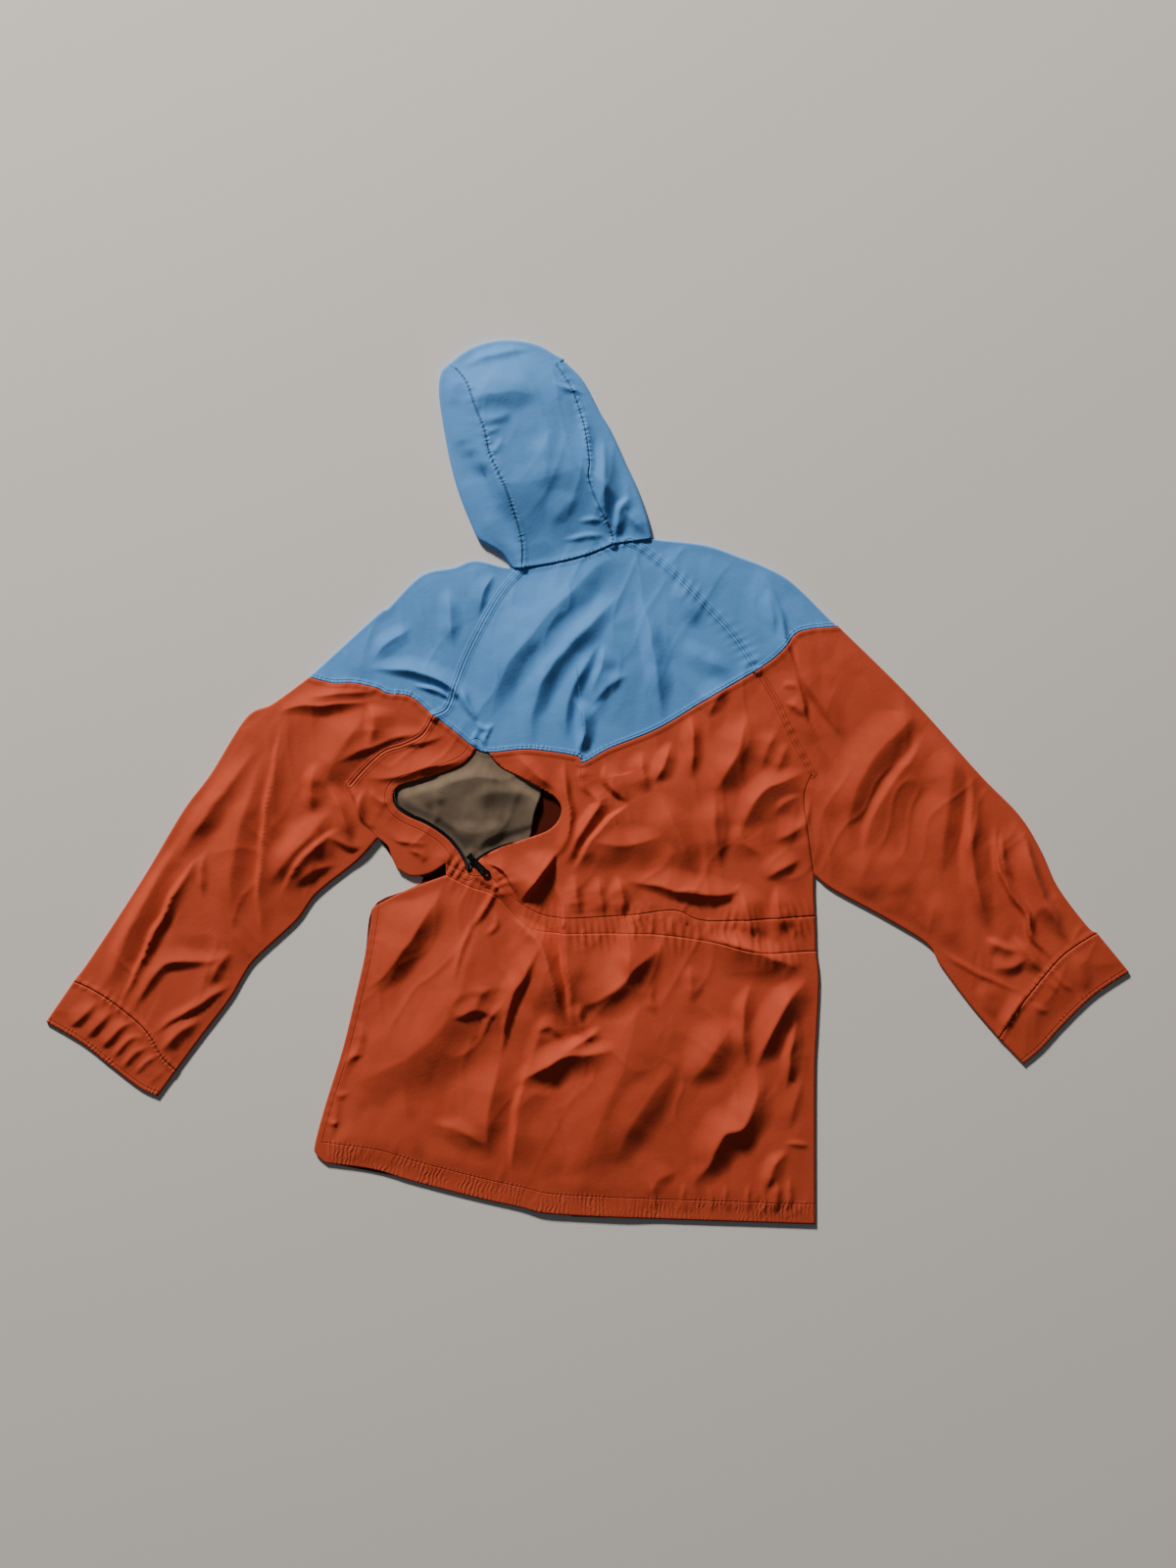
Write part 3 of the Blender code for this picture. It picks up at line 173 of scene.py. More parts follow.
# ---- seams: the plan points that each runs through ----
SEAMS = {
    "neck_centre": ((533, 580), (566, 575), (598, 567), (625, 556)),
    "neck_right": ((625, 556), (642, 553)),
    "neck_corner_left": ((533, 580), (519, 580)),
    "neck_corner_right": ((642, 553), (666, 550)),
    "hood_corner_left": ((533, 580), (522, 580)),
    "raglan_left": ((533, 580), (512, 604), (493, 636), (477, 668), (467, 693), (457, 722), (443, 731)),
    "raglan_right": ((642, 553), (655, 559), (687, 585), (719, 617), (748, 648), (773, 684)),
    "shoulder_left": ((519, 580), (485, 572), (463, 579), (430, 587), (396, 620), (385, 627), (315, 691)),
    "shoulder_right": ((666, 550), (719, 556), (757, 569), (780, 578), (808, 594), (847, 632), (856, 639)),
    "cap_hem_left": ((443, 731), (419, 711), (396, 708), (384, 702), (360, 697), (339, 697), (315, 691)),
    "cap_hem_right": ((773, 684), (790, 672), (803, 659), (812, 647), (827, 642), (856, 639)),
    "yoke_hem": (
        (443, 731), (462, 745), (484, 763), (500, 768), (540, 765), (589, 772), (594, 779), (622, 764), (671, 744),
        (718, 716), (773, 684),
    ),
    "armhole_left": ((443, 731), (431, 750), (412, 760), (392, 767), (372, 785), (357, 802)),
    "armhole_right": ((773, 684), (791, 713), (807, 748), (829, 789)),
    "underarm_left": ((357, 802), (366, 822), (372, 840), (386, 855)),
    "underarm_right": ((829, 789), (822, 806), (821, 824), (825, 850), (831, 893)),
    "lobe_left": ((386, 855), (396, 864), (400, 876), (406, 887)),
    "side_right_upper": ((831, 893), (831, 912), (832, 935)),
    "lobe_hem": ((406, 887), (421, 894), (439, 891), (455, 881)),
    "casing_top": (
        (455, 881), (480, 893), (503, 897), (530, 921), (566, 936), (640, 934), (689, 929), (724, 940), (832, 935),
    ),
    "casing_bottom": (
        (455, 893), (480, 905), (505, 914), (530, 938), (560, 951), (661, 953), (724, 961), (773, 972), (833, 971),
    ),
    "casing_left": ((455, 881), (455, 893)),
    "casing_right": ((832, 935), (833, 971)),
    "skirt_shoulder": ((380, 926), (415, 908), (455, 893)),
    "skirt_left": (
        (380, 926), (377, 948), (371, 980), (362, 1019), (349, 1072), (331, 1130), (321, 1168), (322, 1178),
        (332, 1187),
    ),
    "skirt_right": ((833, 971), (836, 1000), (834, 1050), (832, 1099), (832, 1250)),
    "hem": ((332, 1187), (382, 1194), (418, 1205), (479, 1221), (529, 1232), (586, 1241), (832, 1250)),
    "inseam_left": (
        (386, 855), (364, 879), (323, 912), (302, 940), (261, 978), (248, 996), (234, 1020), (205, 1058), (179, 1093),
    ),
    "inseam_right": ((831, 893), (850, 908), (900, 935), (946, 963), (960, 985), (990, 1025), (1020, 1060)),
    "sleeve_outer_left": (
        (315, 691), (278, 718), (251, 732), (215, 789), (186, 828), (143, 900), (92, 978), (75, 1001),
    ),
    "sleeve_outer_right": (
        (856, 639), (930, 712), (1000, 790), (1040, 831), (1062, 866), (1080, 905), (1110, 945), (1120, 952),
    ),
    "cuff_seam_left": ((179, 1093), (165, 1079), (152, 1056), (134, 1038), (103, 1015), (75, 1001)),
    "cuff_seam_right": ((1020, 1060), (1035, 1037), (1049, 1017), (1079, 981), (1097, 966), (1120, 952)),
    "cuff_hem_left": ((160, 1119), (141, 1110), (112, 1088), (83, 1065), (46, 1043)),
    "cuff_hem_right": ((1045, 1086), (1064, 1070), (1084, 1048), (1116, 1017), (1153, 992)),
    "cuff_inner_left": ((179, 1093), (160, 1119)),
    "cuff_inner_right": ((1020, 1060), (1045, 1086)),
    "cuff_outer_left": ((75, 1001), (46, 1043)),
    "cuff_outer_right": ((1120, 952), (1153, 992)),
    "hood_seam_left": (
        (533, 580), (533, 552), (521, 511), (510, 486), (501, 466), (496, 443), (486, 418), (477, 393), (465, 377),
    ),
    "hood_seam_right": (
        (625, 556), (625, 546), (609, 514), (601, 489), (602, 473), (598, 443), (593, 423), (584, 398), (568, 373),
    ),
    "hood_edge_left": (
        (522, 580), (513, 566), (499, 557), (488, 550), (481, 536), (470, 509), (462, 483), (456, 456), (448, 406),
        (450, 380), (459, 371),
    ),
    "hood_edge_right": (
        (666, 550), (660, 526), (650, 497), (637, 469), (624, 440), (612, 420), (601, 398), (591, 383), (573, 366),
    ),
    "crown": ((459, 371), (472, 360), (488, 352), (513, 347), (546, 351), (573, 366)),
    "crown_corner_left": ((465, 377), (459, 371)),
    "crown_corner_right": ((568, 373), (573, 366)),
    "face_edge_left": ((590, 616), (586, 572), (560, 522), (528, 470), (508, 430), (497, 402)),
    "face_edge_right": ((590, 616), (600, 572), (603, 520), (592, 470), (575, 430), (553, 402)),
    "face_top": ((497, 402), (525, 394), (553, 402)),
    "face_corner_left": ((459, 371), (497, 402)),
    "face_corner_right": ((573, 366), (553, 402)),
    "front_neck_left": ((533, 580), (545, 600), (565, 612), (590, 616)),
    "front_neck_right": ((642, 553), (632, 580), (612, 604), (590, 616)),
    "front_centre_upper": ((590, 616), (592, 765)),
    "front_centre_lower": ((592, 765), (600, 1242)),
    "front_yoke_hem_left": ((443, 731), (592, 765)),
    "front_yoke_hem_right": ((592, 765), (773, 684)),
    "front_side_left": (
        (386, 855), (400, 876), (406, 887), (434, 897), (413, 909), (380, 926), (371, 980), (349, 1072), (331, 1130),
        (321, 1168), (322, 1178), (332, 1187),
    ),
    "front_side_right": ((831, 893), (833, 971), (836, 1000), (834, 1050), (832, 1099), (832, 1250)),
    "front_hem_left": ((332, 1187), (418, 1205), (479, 1221), (529, 1232), (600, 1242)),
    "front_hem_right": ((600, 1242), (832, 1250)),
    "mouth_left": (
        (486, 762), (483, 769), (473, 779), (455, 787), (430, 795), (409, 801), (401, 811), (404, 824), (416, 833),
        (436, 842), (455, 855), (467, 869), (474, 881), (477.5, 891),
    ),
    "mouth_right": (
        (497, 762), (500, 770), (511, 782), (530, 792), (550, 803), (566, 813), (573, 825), (569, 838), (558, 848),
        (536, 856), (512, 864), (493, 874), (485, 882), (479.5, 891),
    ),
    # where the pocket lining ends on the right: beyond it the inner face of the front shows, in painted shade
    "lining_right": ((512, 758), (530, 780), (550, 796), (552, 810), (545, 832), (540, 856), (520, 880)),
}

# ---- folds: a crest (or, with a height below 0, a trough) along a plan path. before is the
# width of the flank on the left or upper side, after the one on the right or lower side, both
# in plan units, and crisp is 0 for a soft roll of cloth and 1 for a knife edge ----
Fold = namedtuple("Fold", "path before after height_mm crisp", defaults=(0.75,))
FOLDS = (
    # yoke: broad swell, then its long folds from the right shoulder down to the point
    Fold(((640, 610), (560, 720)), 110, 100, 3.5, 0),
    Fold(((640, 566), (612, 576), (582, 604), (550, 639), (526, 668), (508, 702), (498, 738)), 50, 30, 8.5, 0.4),
    Fold(((640, 600), (600, 641), (573, 668), (552, 700), (543, 735), (541, 762)), 26, 20, 7.5, 0.5),
    Fold(((613, 654), (594, 685), (583, 708), (577, 735), (580, 764)), 12, 12, 6.5, 0.6),
    Fold(((586, 711), (596, 736), (590, 774)), 9, 15, 8),
    Fold(((642, 689), (618, 702), (603, 719)), 12, 9, 4),
    Fold(((617, 656), (613, 680), (604, 706)), 9, 26, 4.5),
    Fold(((652, 600), (664, 650), (671, 703), (676, 736)), 14, 20, 7, 0.5),
    Fold(((700, 652), (716, 672), (746, 684)), 16, 20, 3, 0.4),
    Fold(((690, 590), (702, 618), (712, 640)), 16, 20, 3.5, 0.4),
    # caps
    Fold(((378, 682), (410, 684), (440, 690), (466, 706), (484, 733)), 16, 10, 7),
    Fold(((422, 699), (445, 705), (463, 716)), 5, 6, 3.5),
    Fold(((470, 698), (478, 718), (486, 740)), 6, 6, 3.5),
    Fold(((488, 742), (484, 757), (490, 766)), 5, 5, 3),
    Fold(((501, 742), (494, 754), (497, 765)), 5, 5, 3),
    Fold(((483, 735), (494, 743), (505, 740)), 4, 6, 3),
    Fold(((457, 600), (459, 630), (461, 662)), 16, 14, 4.5),
    Fold(((420, 640), (398, 655), (380, 672)), 16, 14, 3.5),
    Fold(((504, 583), (493, 607), (489, 630)), 8, 9, 3),
    Fold(((782, 600), (787, 625), (790, 648)), 10, 8, 3),
    # right sleeve: the sleeve drops along the edge of its own fold
    Fold(((774, 576), (787, 601), (797, 631), (803, 658), (811, 682), (819, 715), (826, 744), (852, 786)), 26, 7, 6),
    Fold(((812, 652), (820, 690), (842, 725), (861, 754)), 8, 24, 4.5, 0.4),
    Fold(((924, 704), (928, 732), (906, 756), (882, 788), (868, 820), (865, 864)), 34, 30, 7.5, 0.4),
    Fold(((948, 742), (926, 780), (902, 812), (889, 838), (881, 876)), 10, 40, 4.5, 0.5),
    Fold(((953, 742), (970, 768), (969, 805), (962, 850), (959, 898)), 34, 28, 7, 0.45),
    Fold(((988, 778), (991, 810), (987, 850), (985, 890)), 6, 14, 4.5),
    Fold(((998, 820), (991, 865), (996, 910), (1011, 950)), 14, 20, 8, 0.6),
    Fold(((1014, 838), (1017, 880), (1030, 908), (1046, 932), (1054, 958), (1078, 981)), 5, 10, 8),
    Fold(((1021, 850), (1024, 880), (1036, 901)), 5, 9, 5),
    Fold(((1038, 832), (1052, 880), (1068, 925), (1095, 966)), 18, 11, 9),
    Fold(((1035, 955), (1050, 975), (1065, 994)), 7, 9, 6),
    Fold(((1005, 958), (1022, 966), (1040, 970)), 8, 14, 5),
    Fold(((1012, 990), (1035, 985), (1049, 977)), 8, 12, 5),
    Fold(((1004, 1000), (1008, 1025), (1014, 1046)), 20, 20, 3, 0.3),
    Fold(((1048, 1012), (1032, 1036), (1018, 1058)), 14, 7, 4),
    Fold(((890, 862), (880, 895), (886, 925)), 22, 26, 3, 0.3),
    Fold(((905, 862), (914, 890), (930, 918)), 22, 22, 3, 0.3),
    Fold(((956, 905), (966, 942), (984, 972)), 20, 22, 3, 0.3),
    Fold(((925, 922), (937, 938), (950, 953)), 10, 10, 1.5, 0.4),
    Fold(((838, 786), (846, 812), (850, 840)), 14, 18, 2.5, 0.4),
    Fold(((946, 963), (976, 981), (1006, 997), (1049, 1016)), 6, 5, 2.5),
    Fold(((1092, 968), (1102, 992), (1112, 1016)), 12, 14, 2.4, 0.4),
    Fold(((1050, 1022), (1062, 1030), (1072, 1034)), 5, 6, 1.8),
    Fold(((1066, 999), (1080, 1012)), 5, 6, 1.8),
    Fold(((1072, 988), (1086, 1004), (1097, 1011)), 5, 6, 2),
    # left sleeve
    Fold(((283, 730), (300, 722), (335, 719), (378, 716)), 12, 13, 6),
    Fold(((315, 712), (350, 707), (390, 704)), 8, 9, 3.5),
    Fold(((262, 760), (236, 800), (205, 840), (180, 876)), 24, 20, 6.5),
    Fold(((270, 768), (255, 815), (241, 860), (236, 905), (239, 952)), 28, 28, 7, 0.5),
    Fold(((286, 732), (281, 780), (272, 828), (266, 880), (264, 925), (268, 962)), 5, 26, 6.5),
    Fold(((378, 718), (381, 740), (377, 760)), 10, 28, 6.5),
    Fold(((372, 724), (360, 750), (342, 778), (326, 812)), 40, 34, 7, 0.4),
    Fold(((322, 778), (318, 805), (320, 832)), 12, 22, 6),
    Fold(((339, 826), (312, 858), (288, 884), (274, 905)), 24, 22, 7, 0.5),
    Fold(((352, 846), (331, 856), (307, 880), (287, 911)), 6, 28, 5.5),
    Fold(((300, 905), (320, 890), (346, 882)), 8, 9, 3),
    Fold(((332, 797), (346, 822), (356, 850), (363, 867)), 14, 13, 8),
    Fold(((353, 797), (364, 820), (369, 842)), 4, 10, 4),
    Fold(((333, 853), (350, 861), (366, 866), (385, 855)), 8, 8, 4),
    Fold(((104, 1015), (122, 975), (142, 932), (166, 885), (190, 850)), 18, 24, 6.5, 0.5),
    Fold(((122, 1026), (148, 975), (172, 925), (196, 885), (211, 868)), 6, 12, 7),
    Fold(((134, 1038), (148, 1010), (165, 986), (182, 981), (205, 982), (233, 975)), 14, 10, 5.5),
    Fold(((211, 868), (205, 890), (207, 916)), 6, 9, 3.5),
    Fold(((238, 972), (224, 986), (216, 1006)), 12, 11, 4.5),
    Fold(((153, 1056), (185, 1036), (219, 1016), (244, 999)), 7, 6, 3.5),
    Fold(((208, 1040), (186, 1052), (163, 1073)), 12, 14, 4.5),
    Fold(((66, 1052), (84, 1038), (101, 1021)), 10, 9, 4),
    Fold(((84, 1064), (105, 1041), (118, 1030)), 8, 8, 3.5),
    Fold(((101, 1076), (118, 1053), (137, 1042)), 7, 8, 4),
    Fold(((112, 1087), (130, 1063), (148, 1056)), 6, 6, 2.8),
    Fold(((122, 1095), (140, 1073), (155, 1066)), 6, 6, 2.6),
    Fold(((135, 1101), (150, 1083), (165, 1074)), 5, 6, 2.2),
    # bodice: broad swells
    Fold(((690, 760), (690, 880)), 100, 110, 4, 0),
    # bodice, left of the zip opening
    Fold(((341, 781), (365, 768), (398, 755), (428, 748), (441, 735)), 12, 7, 3.5),
    Fold(((408, 762), (430, 758), (455, 751)), 7, 6, 2.5),
    Fold(((372, 795), (400, 794), (430, 785), (462, 778), (484, 767)), 22, 10, 5),
    Fold(((373, 802), (366, 822), (372, 840), (384, 851)), 5, 12, 3.5),
    Fold(((378, 803), (384, 815), (398, 822)), 6, 10, 2.5),
    Fold(((371, 838), (390, 850), (410, 859), (440, 863)), 12, 10, 4.5),
    Fold(((413, 868), (430, 873), (434, 887)), 10, 8, 3.5),
    Fold(((400, 864), (406, 880), (418, 890)), 6, 7, 2.5),
    # bodice, right of the opening
    Fold(((524, 768), (537, 781), (552, 794), (569, 808)), 12, 18, 5),
    Fold(((576, 768), (578, 802), (582, 835), (578, 858), (566, 877)), 13, 10, 8.5),
    Fold(((478, 894), (498, 897), (510, 909), (520, 929)), 12, 10, 5),
    Fold(((494, 880), (514, 889), (524, 904), (531, 921)), 4, 24, 5),
    Fold(((570, 868), (551, 896), (531, 922)), 34, 7, 12, 0.9),
    Fold(((590, 800), (612, 818), (602, 836), (589, 856), (578, 884)), 14, 16, 7.5),
    Fold(((643, 820), (622, 836), (606, 853), (594, 872), (585, 892)), 5, 46, 6.5),
    Fold(((592, 778), (594, 796), (602, 812)), 10, 22, 4),
    Fold(((618, 776), (618, 798), (642, 820)), 5, 34, 5),
    Fold(((656, 766), (656, 786), (663, 809)), 22, 13, 6),
    Fold(((686, 756), (678, 780), (668, 801)), 14, 15, 6),
    Fold(((706, 727), (707, 760), (706, 796)), 16, 14, 7),
    Fold(((762, 726), (754, 760), (743, 786), (727, 809)), 30, 28, 9),
    Fold(((746, 700), (732, 712), (721, 731)), 12, 13, 4.5),
    Fold(((790, 745), (783, 765), (777, 786)), 10, 13, 3.5),
    Fold(((804, 757), (797, 775), (793, 790)), 8, 10, 3),
    Fold(((822, 786), (800, 796), (780, 806), (764, 826), (756, 850)), 18, 34, 7),
    Fold(((818, 812), (800, 820), (790, 832)), 7, 22, 2.5),
    Fold(((824, 836), (808, 850), (788, 858)), 14, 12, 4),
    Fold(((728, 806), (730, 850), (734, 886)), 26, 18, 6.5),
    Fold(((754, 838), (760, 860), (776, 873)), 10, 12, 4.5),
    Fold(((674, 808), (690, 848), (714, 896)), 34, 20, 7),
    Fold(((604, 857), (630, 862), (655, 860), (677, 852)), 22, 30, 5),
    Fold(((586, 892), (592, 934)), 10, 9, 6),
    Fold(((610, 894), (617, 936)), 10, 9, 6),
    Fold(((629, 894), (635, 914), (637, 938)), 9, 9, 8),
    Fold(((640, 898), (676, 905), (704, 911), (732, 914), (750, 910), (758, 899)), 24, 12, 8),
    Fold(((690, 907), (704, 908), (718, 910)), 4, 4, 1.5),
    Fold(((754, 902), (760, 925), (764, 950), (766, 972)), 16, 25, 9),
    Fold(((793, 903), (794, 930), (796, 957)), 8, 28, 6),
    Fold(((816, 877), (797, 886), (781, 897)), 12, 12, 5),
    Fold(((826, 812), (822, 850), (828, 890)), 9, 6, 3),
    Fold(((800, 716), (812, 722), (822, 733)), 8, 7, 3),
    Fold(((797, 700), (806, 698), (815, 702)), 6, 7, 2),
    # waist casing, left end: the gathers fan out below the slider
    Fold(((440, 889), (448, 900), (452, 912)), 4, 5, 2),
    Fold(((452, 886), (458, 897), (461, 909)), 4, 5, 2.2),
    Fold(((464, 884), (468, 896), (470, 908)), 4, 4, 2.2),
    Fold(((475, 886), (478, 897), (480, 911)), 4, 4, 2),
    # waist casing, right part: the cord's gathers
    Fold(((642, 927), (646, 944), (645, 962)), 4, 5, 2.6),
    Fold(((653, 926), (652, 940), (657, 955)), 4, 4, 2.4),
    Fold(((664, 929), (666, 946), (664, 958)), 3, 5, 2.6),
    Fold(((672, 928), (676, 942), (680, 958)), 4, 4, 2.8),
    Fold(((686, 930), (684, 944), (690, 960)), 4, 5, 2.4),
    Fold(((696, 931), (700, 946)), 3, 4, 2),
    Fold(((708, 936), (712, 952), (709, 964)), 4, 5, 2.2),
    Fold(((722, 934), (724, 950), (729, 966)), 4, 4, 2.4),
    Fold(((738, 940), (738, 956), (743, 970)), 4, 5, 2.6),
    Fold(((748, 944), (751, 958), (754, 972)), 3, 4, 2.6),
    Fold(((774, 950), (772, 962), (777, 976)), 4, 4, 2.4),
    Fold(((806, 934), (812, 946), (809, 962)), 4, 5, 2.2),
    Fold(((818, 930), (817, 946), (822, 960)), 4, 4, 2),
    Fold(((598, 944), (596, 958), (602, 968)), 4, 4, 1.8),
    Fold(((576, 936), (574, 948)), 3, 4, 1.6),
    # hem: what the tape inside it gathers
    Fold(((664, 1204), (668, 1222), (666, 1240)), 4, 5, 1.8),
    Fold(((700, 1206), (697, 1224), (700, 1243)), 4, 4, 1.8),
    Fold(((722, 1208), (726, 1226), (724, 1244)), 4, 5, 2),
    Fold(((742, 1206), (741, 1226), (746, 1244)), 4, 4, 2),
    Fold(((764, 1204), (762, 1224), (766, 1245)), 4, 5, 2.2),
    Fold(((776, 1208), (780, 1226), (778, 1246)), 4, 4, 2.2),
    # skirt: broad swells of air under the cloth
    Fold(((548, 950), (556, 1020), (548, 1080)), 95, 110, 4.5, 0),
    Fold(((700, 1000), (680, 1100), (640, 1190)), 110, 110, 3.5, 0),
    # skirt, left of the pleat
    Fold(((452, 905), (432, 940), (405, 980), (372, 1012)), 46, 23, 8.5),
    Fold(((496, 925), (481, 975), (462, 1030), (432, 1066), (392, 1092), (350, 1108)), 60, 56, 9.5, 0.35),
    Fold(((484, 935), (474, 962), (463, 1000)), 6, 7, 3),
    Fold(((508, 900), (500, 920), (490, 935), (480, 946)), 6, 7, 4),
    Fold(((505, 930), (506, 944), (494, 955)), 6, 6, 2.5),
    Fold(((460, 1039), (474, 1034), (484, 1031), (504, 1035)), 9, 8, 4),
    Fold(((500, 1005), (490, 1018), (484, 1034)), 9, 9, 2.5),
    Fold(((515, 1022), (500, 1040), (492, 1056)), 7, 7, 2),
    Fold(((552, 962), (539, 990), (527, 1008), (519, 1027), (514, 1050), (511, 1072)), 18, 9, 7.5),
    Fold(((513, 1032), (514, 1055), (511, 1078)), 5, 6, 2),
    Fold(((556, 1036), (545, 1070), (537, 1100)), 12, 34, 4),
    Fold(((510, 1078), (504, 1112), (497, 1146), (500, 1184)), 55, 26, 8),
    Fold(((438, 1145), (466, 1152), (498, 1168)), 14, 20, 3.5),
    Fold(((538, 1088), (529, 1125), (526, 1155), (521, 1196)), 6, 50, 6),
    Fold(((411, 1105), (414, 1142), (433, 1180)), 18, 12, 2.5, 0.3),
    Fold(((372, 1030), (366, 1070), (345, 1098), (341, 1145), (328, 1178)), 20, 10, 3, 0.5),
    Fold(((344, 1090), (360, 1079), (372, 1077)), 7, 7, 2.5),
    Fold(((330, 1140), (338, 1146), (346, 1143)), 6, 6, 2.5),
    Fold(((336, 1112), (346, 1118), (356, 1114)), 6, 6, 2),
    Fold(((360, 1040), (368, 1052), (372, 1066)), 7, 7, 2),
    # the large pleat under the zip opening, and the shade below its point
    Fold(((520, 936), (540, 950), (556, 970), (566, 1008), (579, 1046)), 44, 17, 13, 0.8),
    Fold(((564, 897), (574, 925), (575, 955), (578, 985), (582, 1015), (584, 1050)), 5, 52, 11, 0.5),
    Fold(((592, 1022), (592, 1042), (602, 1058)), 9, 9, 5),
    Fold(((613, 1047), (592, 1062), (572, 1074)), 9, 14, 6),
    Fold(((545, 1052), (562, 1046), (574, 1062)), 8, 8, 3),
    Fold(((630, 1067), (600, 1075), (578, 1076), (552, 1090), (525, 1108)), 20, 28, 11),
    # skirt, right half
    Fold(((678, 963), (652, 984), (638, 1000), (614, 1018), (590, 1028)), 48, 31, 12),
    Fold(((639, 930), (641, 960), (642, 1002)), 14, 30, 7),
    Fold(((662, 985), (650, 1030), (638, 1080), (620, 1125), (604, 1170), (590, 1220)), 60, 62, 10, 0.3),
    Fold(((668, 1002), (664, 1018), (670, 1036)), 7, 8, 2.5),
    Fold(((750, 1040), (726, 1078), (702, 1108)), 34, 26, 7, 0.4),
    Fold(((694, 1078), (664, 1118), (643, 1150), (628, 1188)), 26, 28, 5, 0.3),
    Fold(((705, 984), (706, 1024)), 12, 15, 3.5),
    Fold(((718, 955), (748, 964), (780, 974), (818, 990)), 18, 36, 9),
    Fold(((824, 996), (802, 1024), (786, 1052), (772, 1090)), 22, 26, 10),
    Fold(((766, 1002), (758, 1030), (758, 1062), (763, 1090)), 14, 17, 6.5),
    Fold(((774, 1086), (770, 1120), (758, 1148), (740, 1155), (730, 1172), (722, 1190), (705, 1211)), 30, 27, 11),
    Fold(((812, 1040), (806, 1075), (803, 1112)), 9, 15, 6),
    Fold(((820, 1100), (812, 1125), (806, 1152)), 9, 9, 2.5),
    Fold(((800, 1166), (815, 1168), (831, 1170)), 5, 6, 2.5),
    Fold(((804, 1176), (788, 1192), (779, 1218)), 13, 15, 5),
    Fold(((793, 1203), (791, 1240)), 7, 8, 3.5),
    Fold(((807, 1198), (803, 1238)), 6, 7, 2.5),
    Fold(((690, 1195), (672, 1205), (662, 1222)), 12, 12, 2.5),
    Fold(((560, 1130), (556, 1170), (566, 1210)), 22, 22, 2, 0.1),
    # hood
    Fold(((464, 446), (484, 470), (503, 500), (519, 535), (532, 572)), 28, 5, -11, 0.3),
    Fold(((470, 486), (490, 518), (508, 547), (522, 573)), 9, 8, 3),
    Fold(((617, 443), (616, 485), (616, 515), (622, 547)), 16, 19, 6.5),
    Fold(((643, 505), (633, 520), (627, 549)), 7, 14, 5),
    Fold(((636, 523), (648, 533), (665, 549)), 8, 8, 3.5),
    Fold(((476, 413), (505, 405), (530, 404), (552, 408)), 26, 22, 4.5, 0.3),
    Fold(((493, 434), (508, 430), (523, 423)), 9, 10, 2.5),
    Fold(((497, 445), (513, 438)), 5, 6, 1.5),
    Fold(((499, 469), (508, 458), (515, 447)), 6, 8, 2),
    Fold(((471, 376), (501, 364), (523, 359), (545, 354)), 10, 10, 3.5),
    Fold(((560, 537), (574, 522), (589, 507)), 9, 12, 2.4, 0.4),
    Fold(((560, 440), (556, 470), (562, 505)), 20, 24, 3.5, 0.3),
    Fold(((600, 420), (598, 455), (603, 490)), 12, 12, 2.5),
    Fold(((565, 391), (580, 398), (599, 402)), 6, 7, 2.8),
    Fold(((571, 364), (576, 381)), 5, 6, 2.2),
    Fold(((466, 386), (462, 400), (466, 418)), 8, 9, 2.5),
    Fold(((573, 552), (596, 548), (618, 545)), 5, 6, 2.5),
    Fold(((590, 533), (604, 530), (616, 531)), 5, 6, 2.2),
)

# ---- from a row above to the fold that is built. Beside the photo the typed folds stood too low, and the
# narrow ones were too steep on the first flank. strengthened() corrects both by one rule, with widths in
# plan units and heights in mm. The lining's folds are built as typed ----
NARROW_FLANK = 13
SHARP_FLANK = 6
FLANK_RATIO = 1.8
TALL_CREST = 9
HIGH_CREST = 4.5
HIGH_GAIN = 1.2
LOW_CREST = 3
LOW_GAIN = 1.1

# ---- seams whose thread pulls the cloth: spacing and height of the puckers, how far they reach
# from their line, the line's distance from the seam and the turnings' thickness, all in mm, and how
# full the puckers are at even steps along the seam ----
Pucker = namedtuple("Pucker", "seam pitch height reach line band full", defaults=((),))
PUCKERS = (
    Pucker("raglan_left", 13, 0.7, 8, 0, 0.7),
    Pucker("raglan_right", 12, 1.3, 11, 0, 0.7, (0.4, 1, 1, 0.6)),
    Pucker("yoke_hem", 13, 0.8, 8, 0, 0.7, (1, 0.6, 0.3, 0.6, 0.3, 0.6, 1)),
    Pucker("armhole_left", 13, 0.8, 8, 0, 0.6),
    Pucker("armhole_right", 13, 0.8, 8, 0, 0.6),
    Pucker("cap_hem_left", 13, 0.8, 8, 0, 0.6),
    Pucker("cap_hem_right", 13, 0.8, 8, 0, 0.6),
    Pucker("hood_seam_left", 12, 0.8, 7, 0, 0.6),
    Pucker("hood_seam_right", 12, 0.8, 7, 0, 0.6),
    Pucker("neck_centre", 10, 1.4, 11, 0, 0.5, (0.3, 0.4, 1, 1)),
    Pucker("neck_right", 10, 1.2, 9, 0, 0.5),
    Pucker("hem", 9.5, 1.3, 10, 16, 0.0, (0.6, 0.25, 0.3, 0.25, 0.5, 1, 1, 1)),
    Pucker("casing_top", 9, 2.8, 13, 5, 0.0, (1, 0.9, 0.3, 0.5, 0.9, 1, 1, 1, 0.9)),
    Pucker("casing_bottom", 9, 2.6, 12, 5, 0.0, (0.5, 0.4, 0.2, 0.5, 0.9, 1, 1, 1, 0.9)),
    Pucker("cuff_seam_left", 11, 1.0, 8, 0, 0.5),
    Pucker("cuff_seam_right", 11, 1.0, 8, 0, 0.5),
    Pucker("skirt_left", 13, 0.6, 7, 6, 0.0),
)

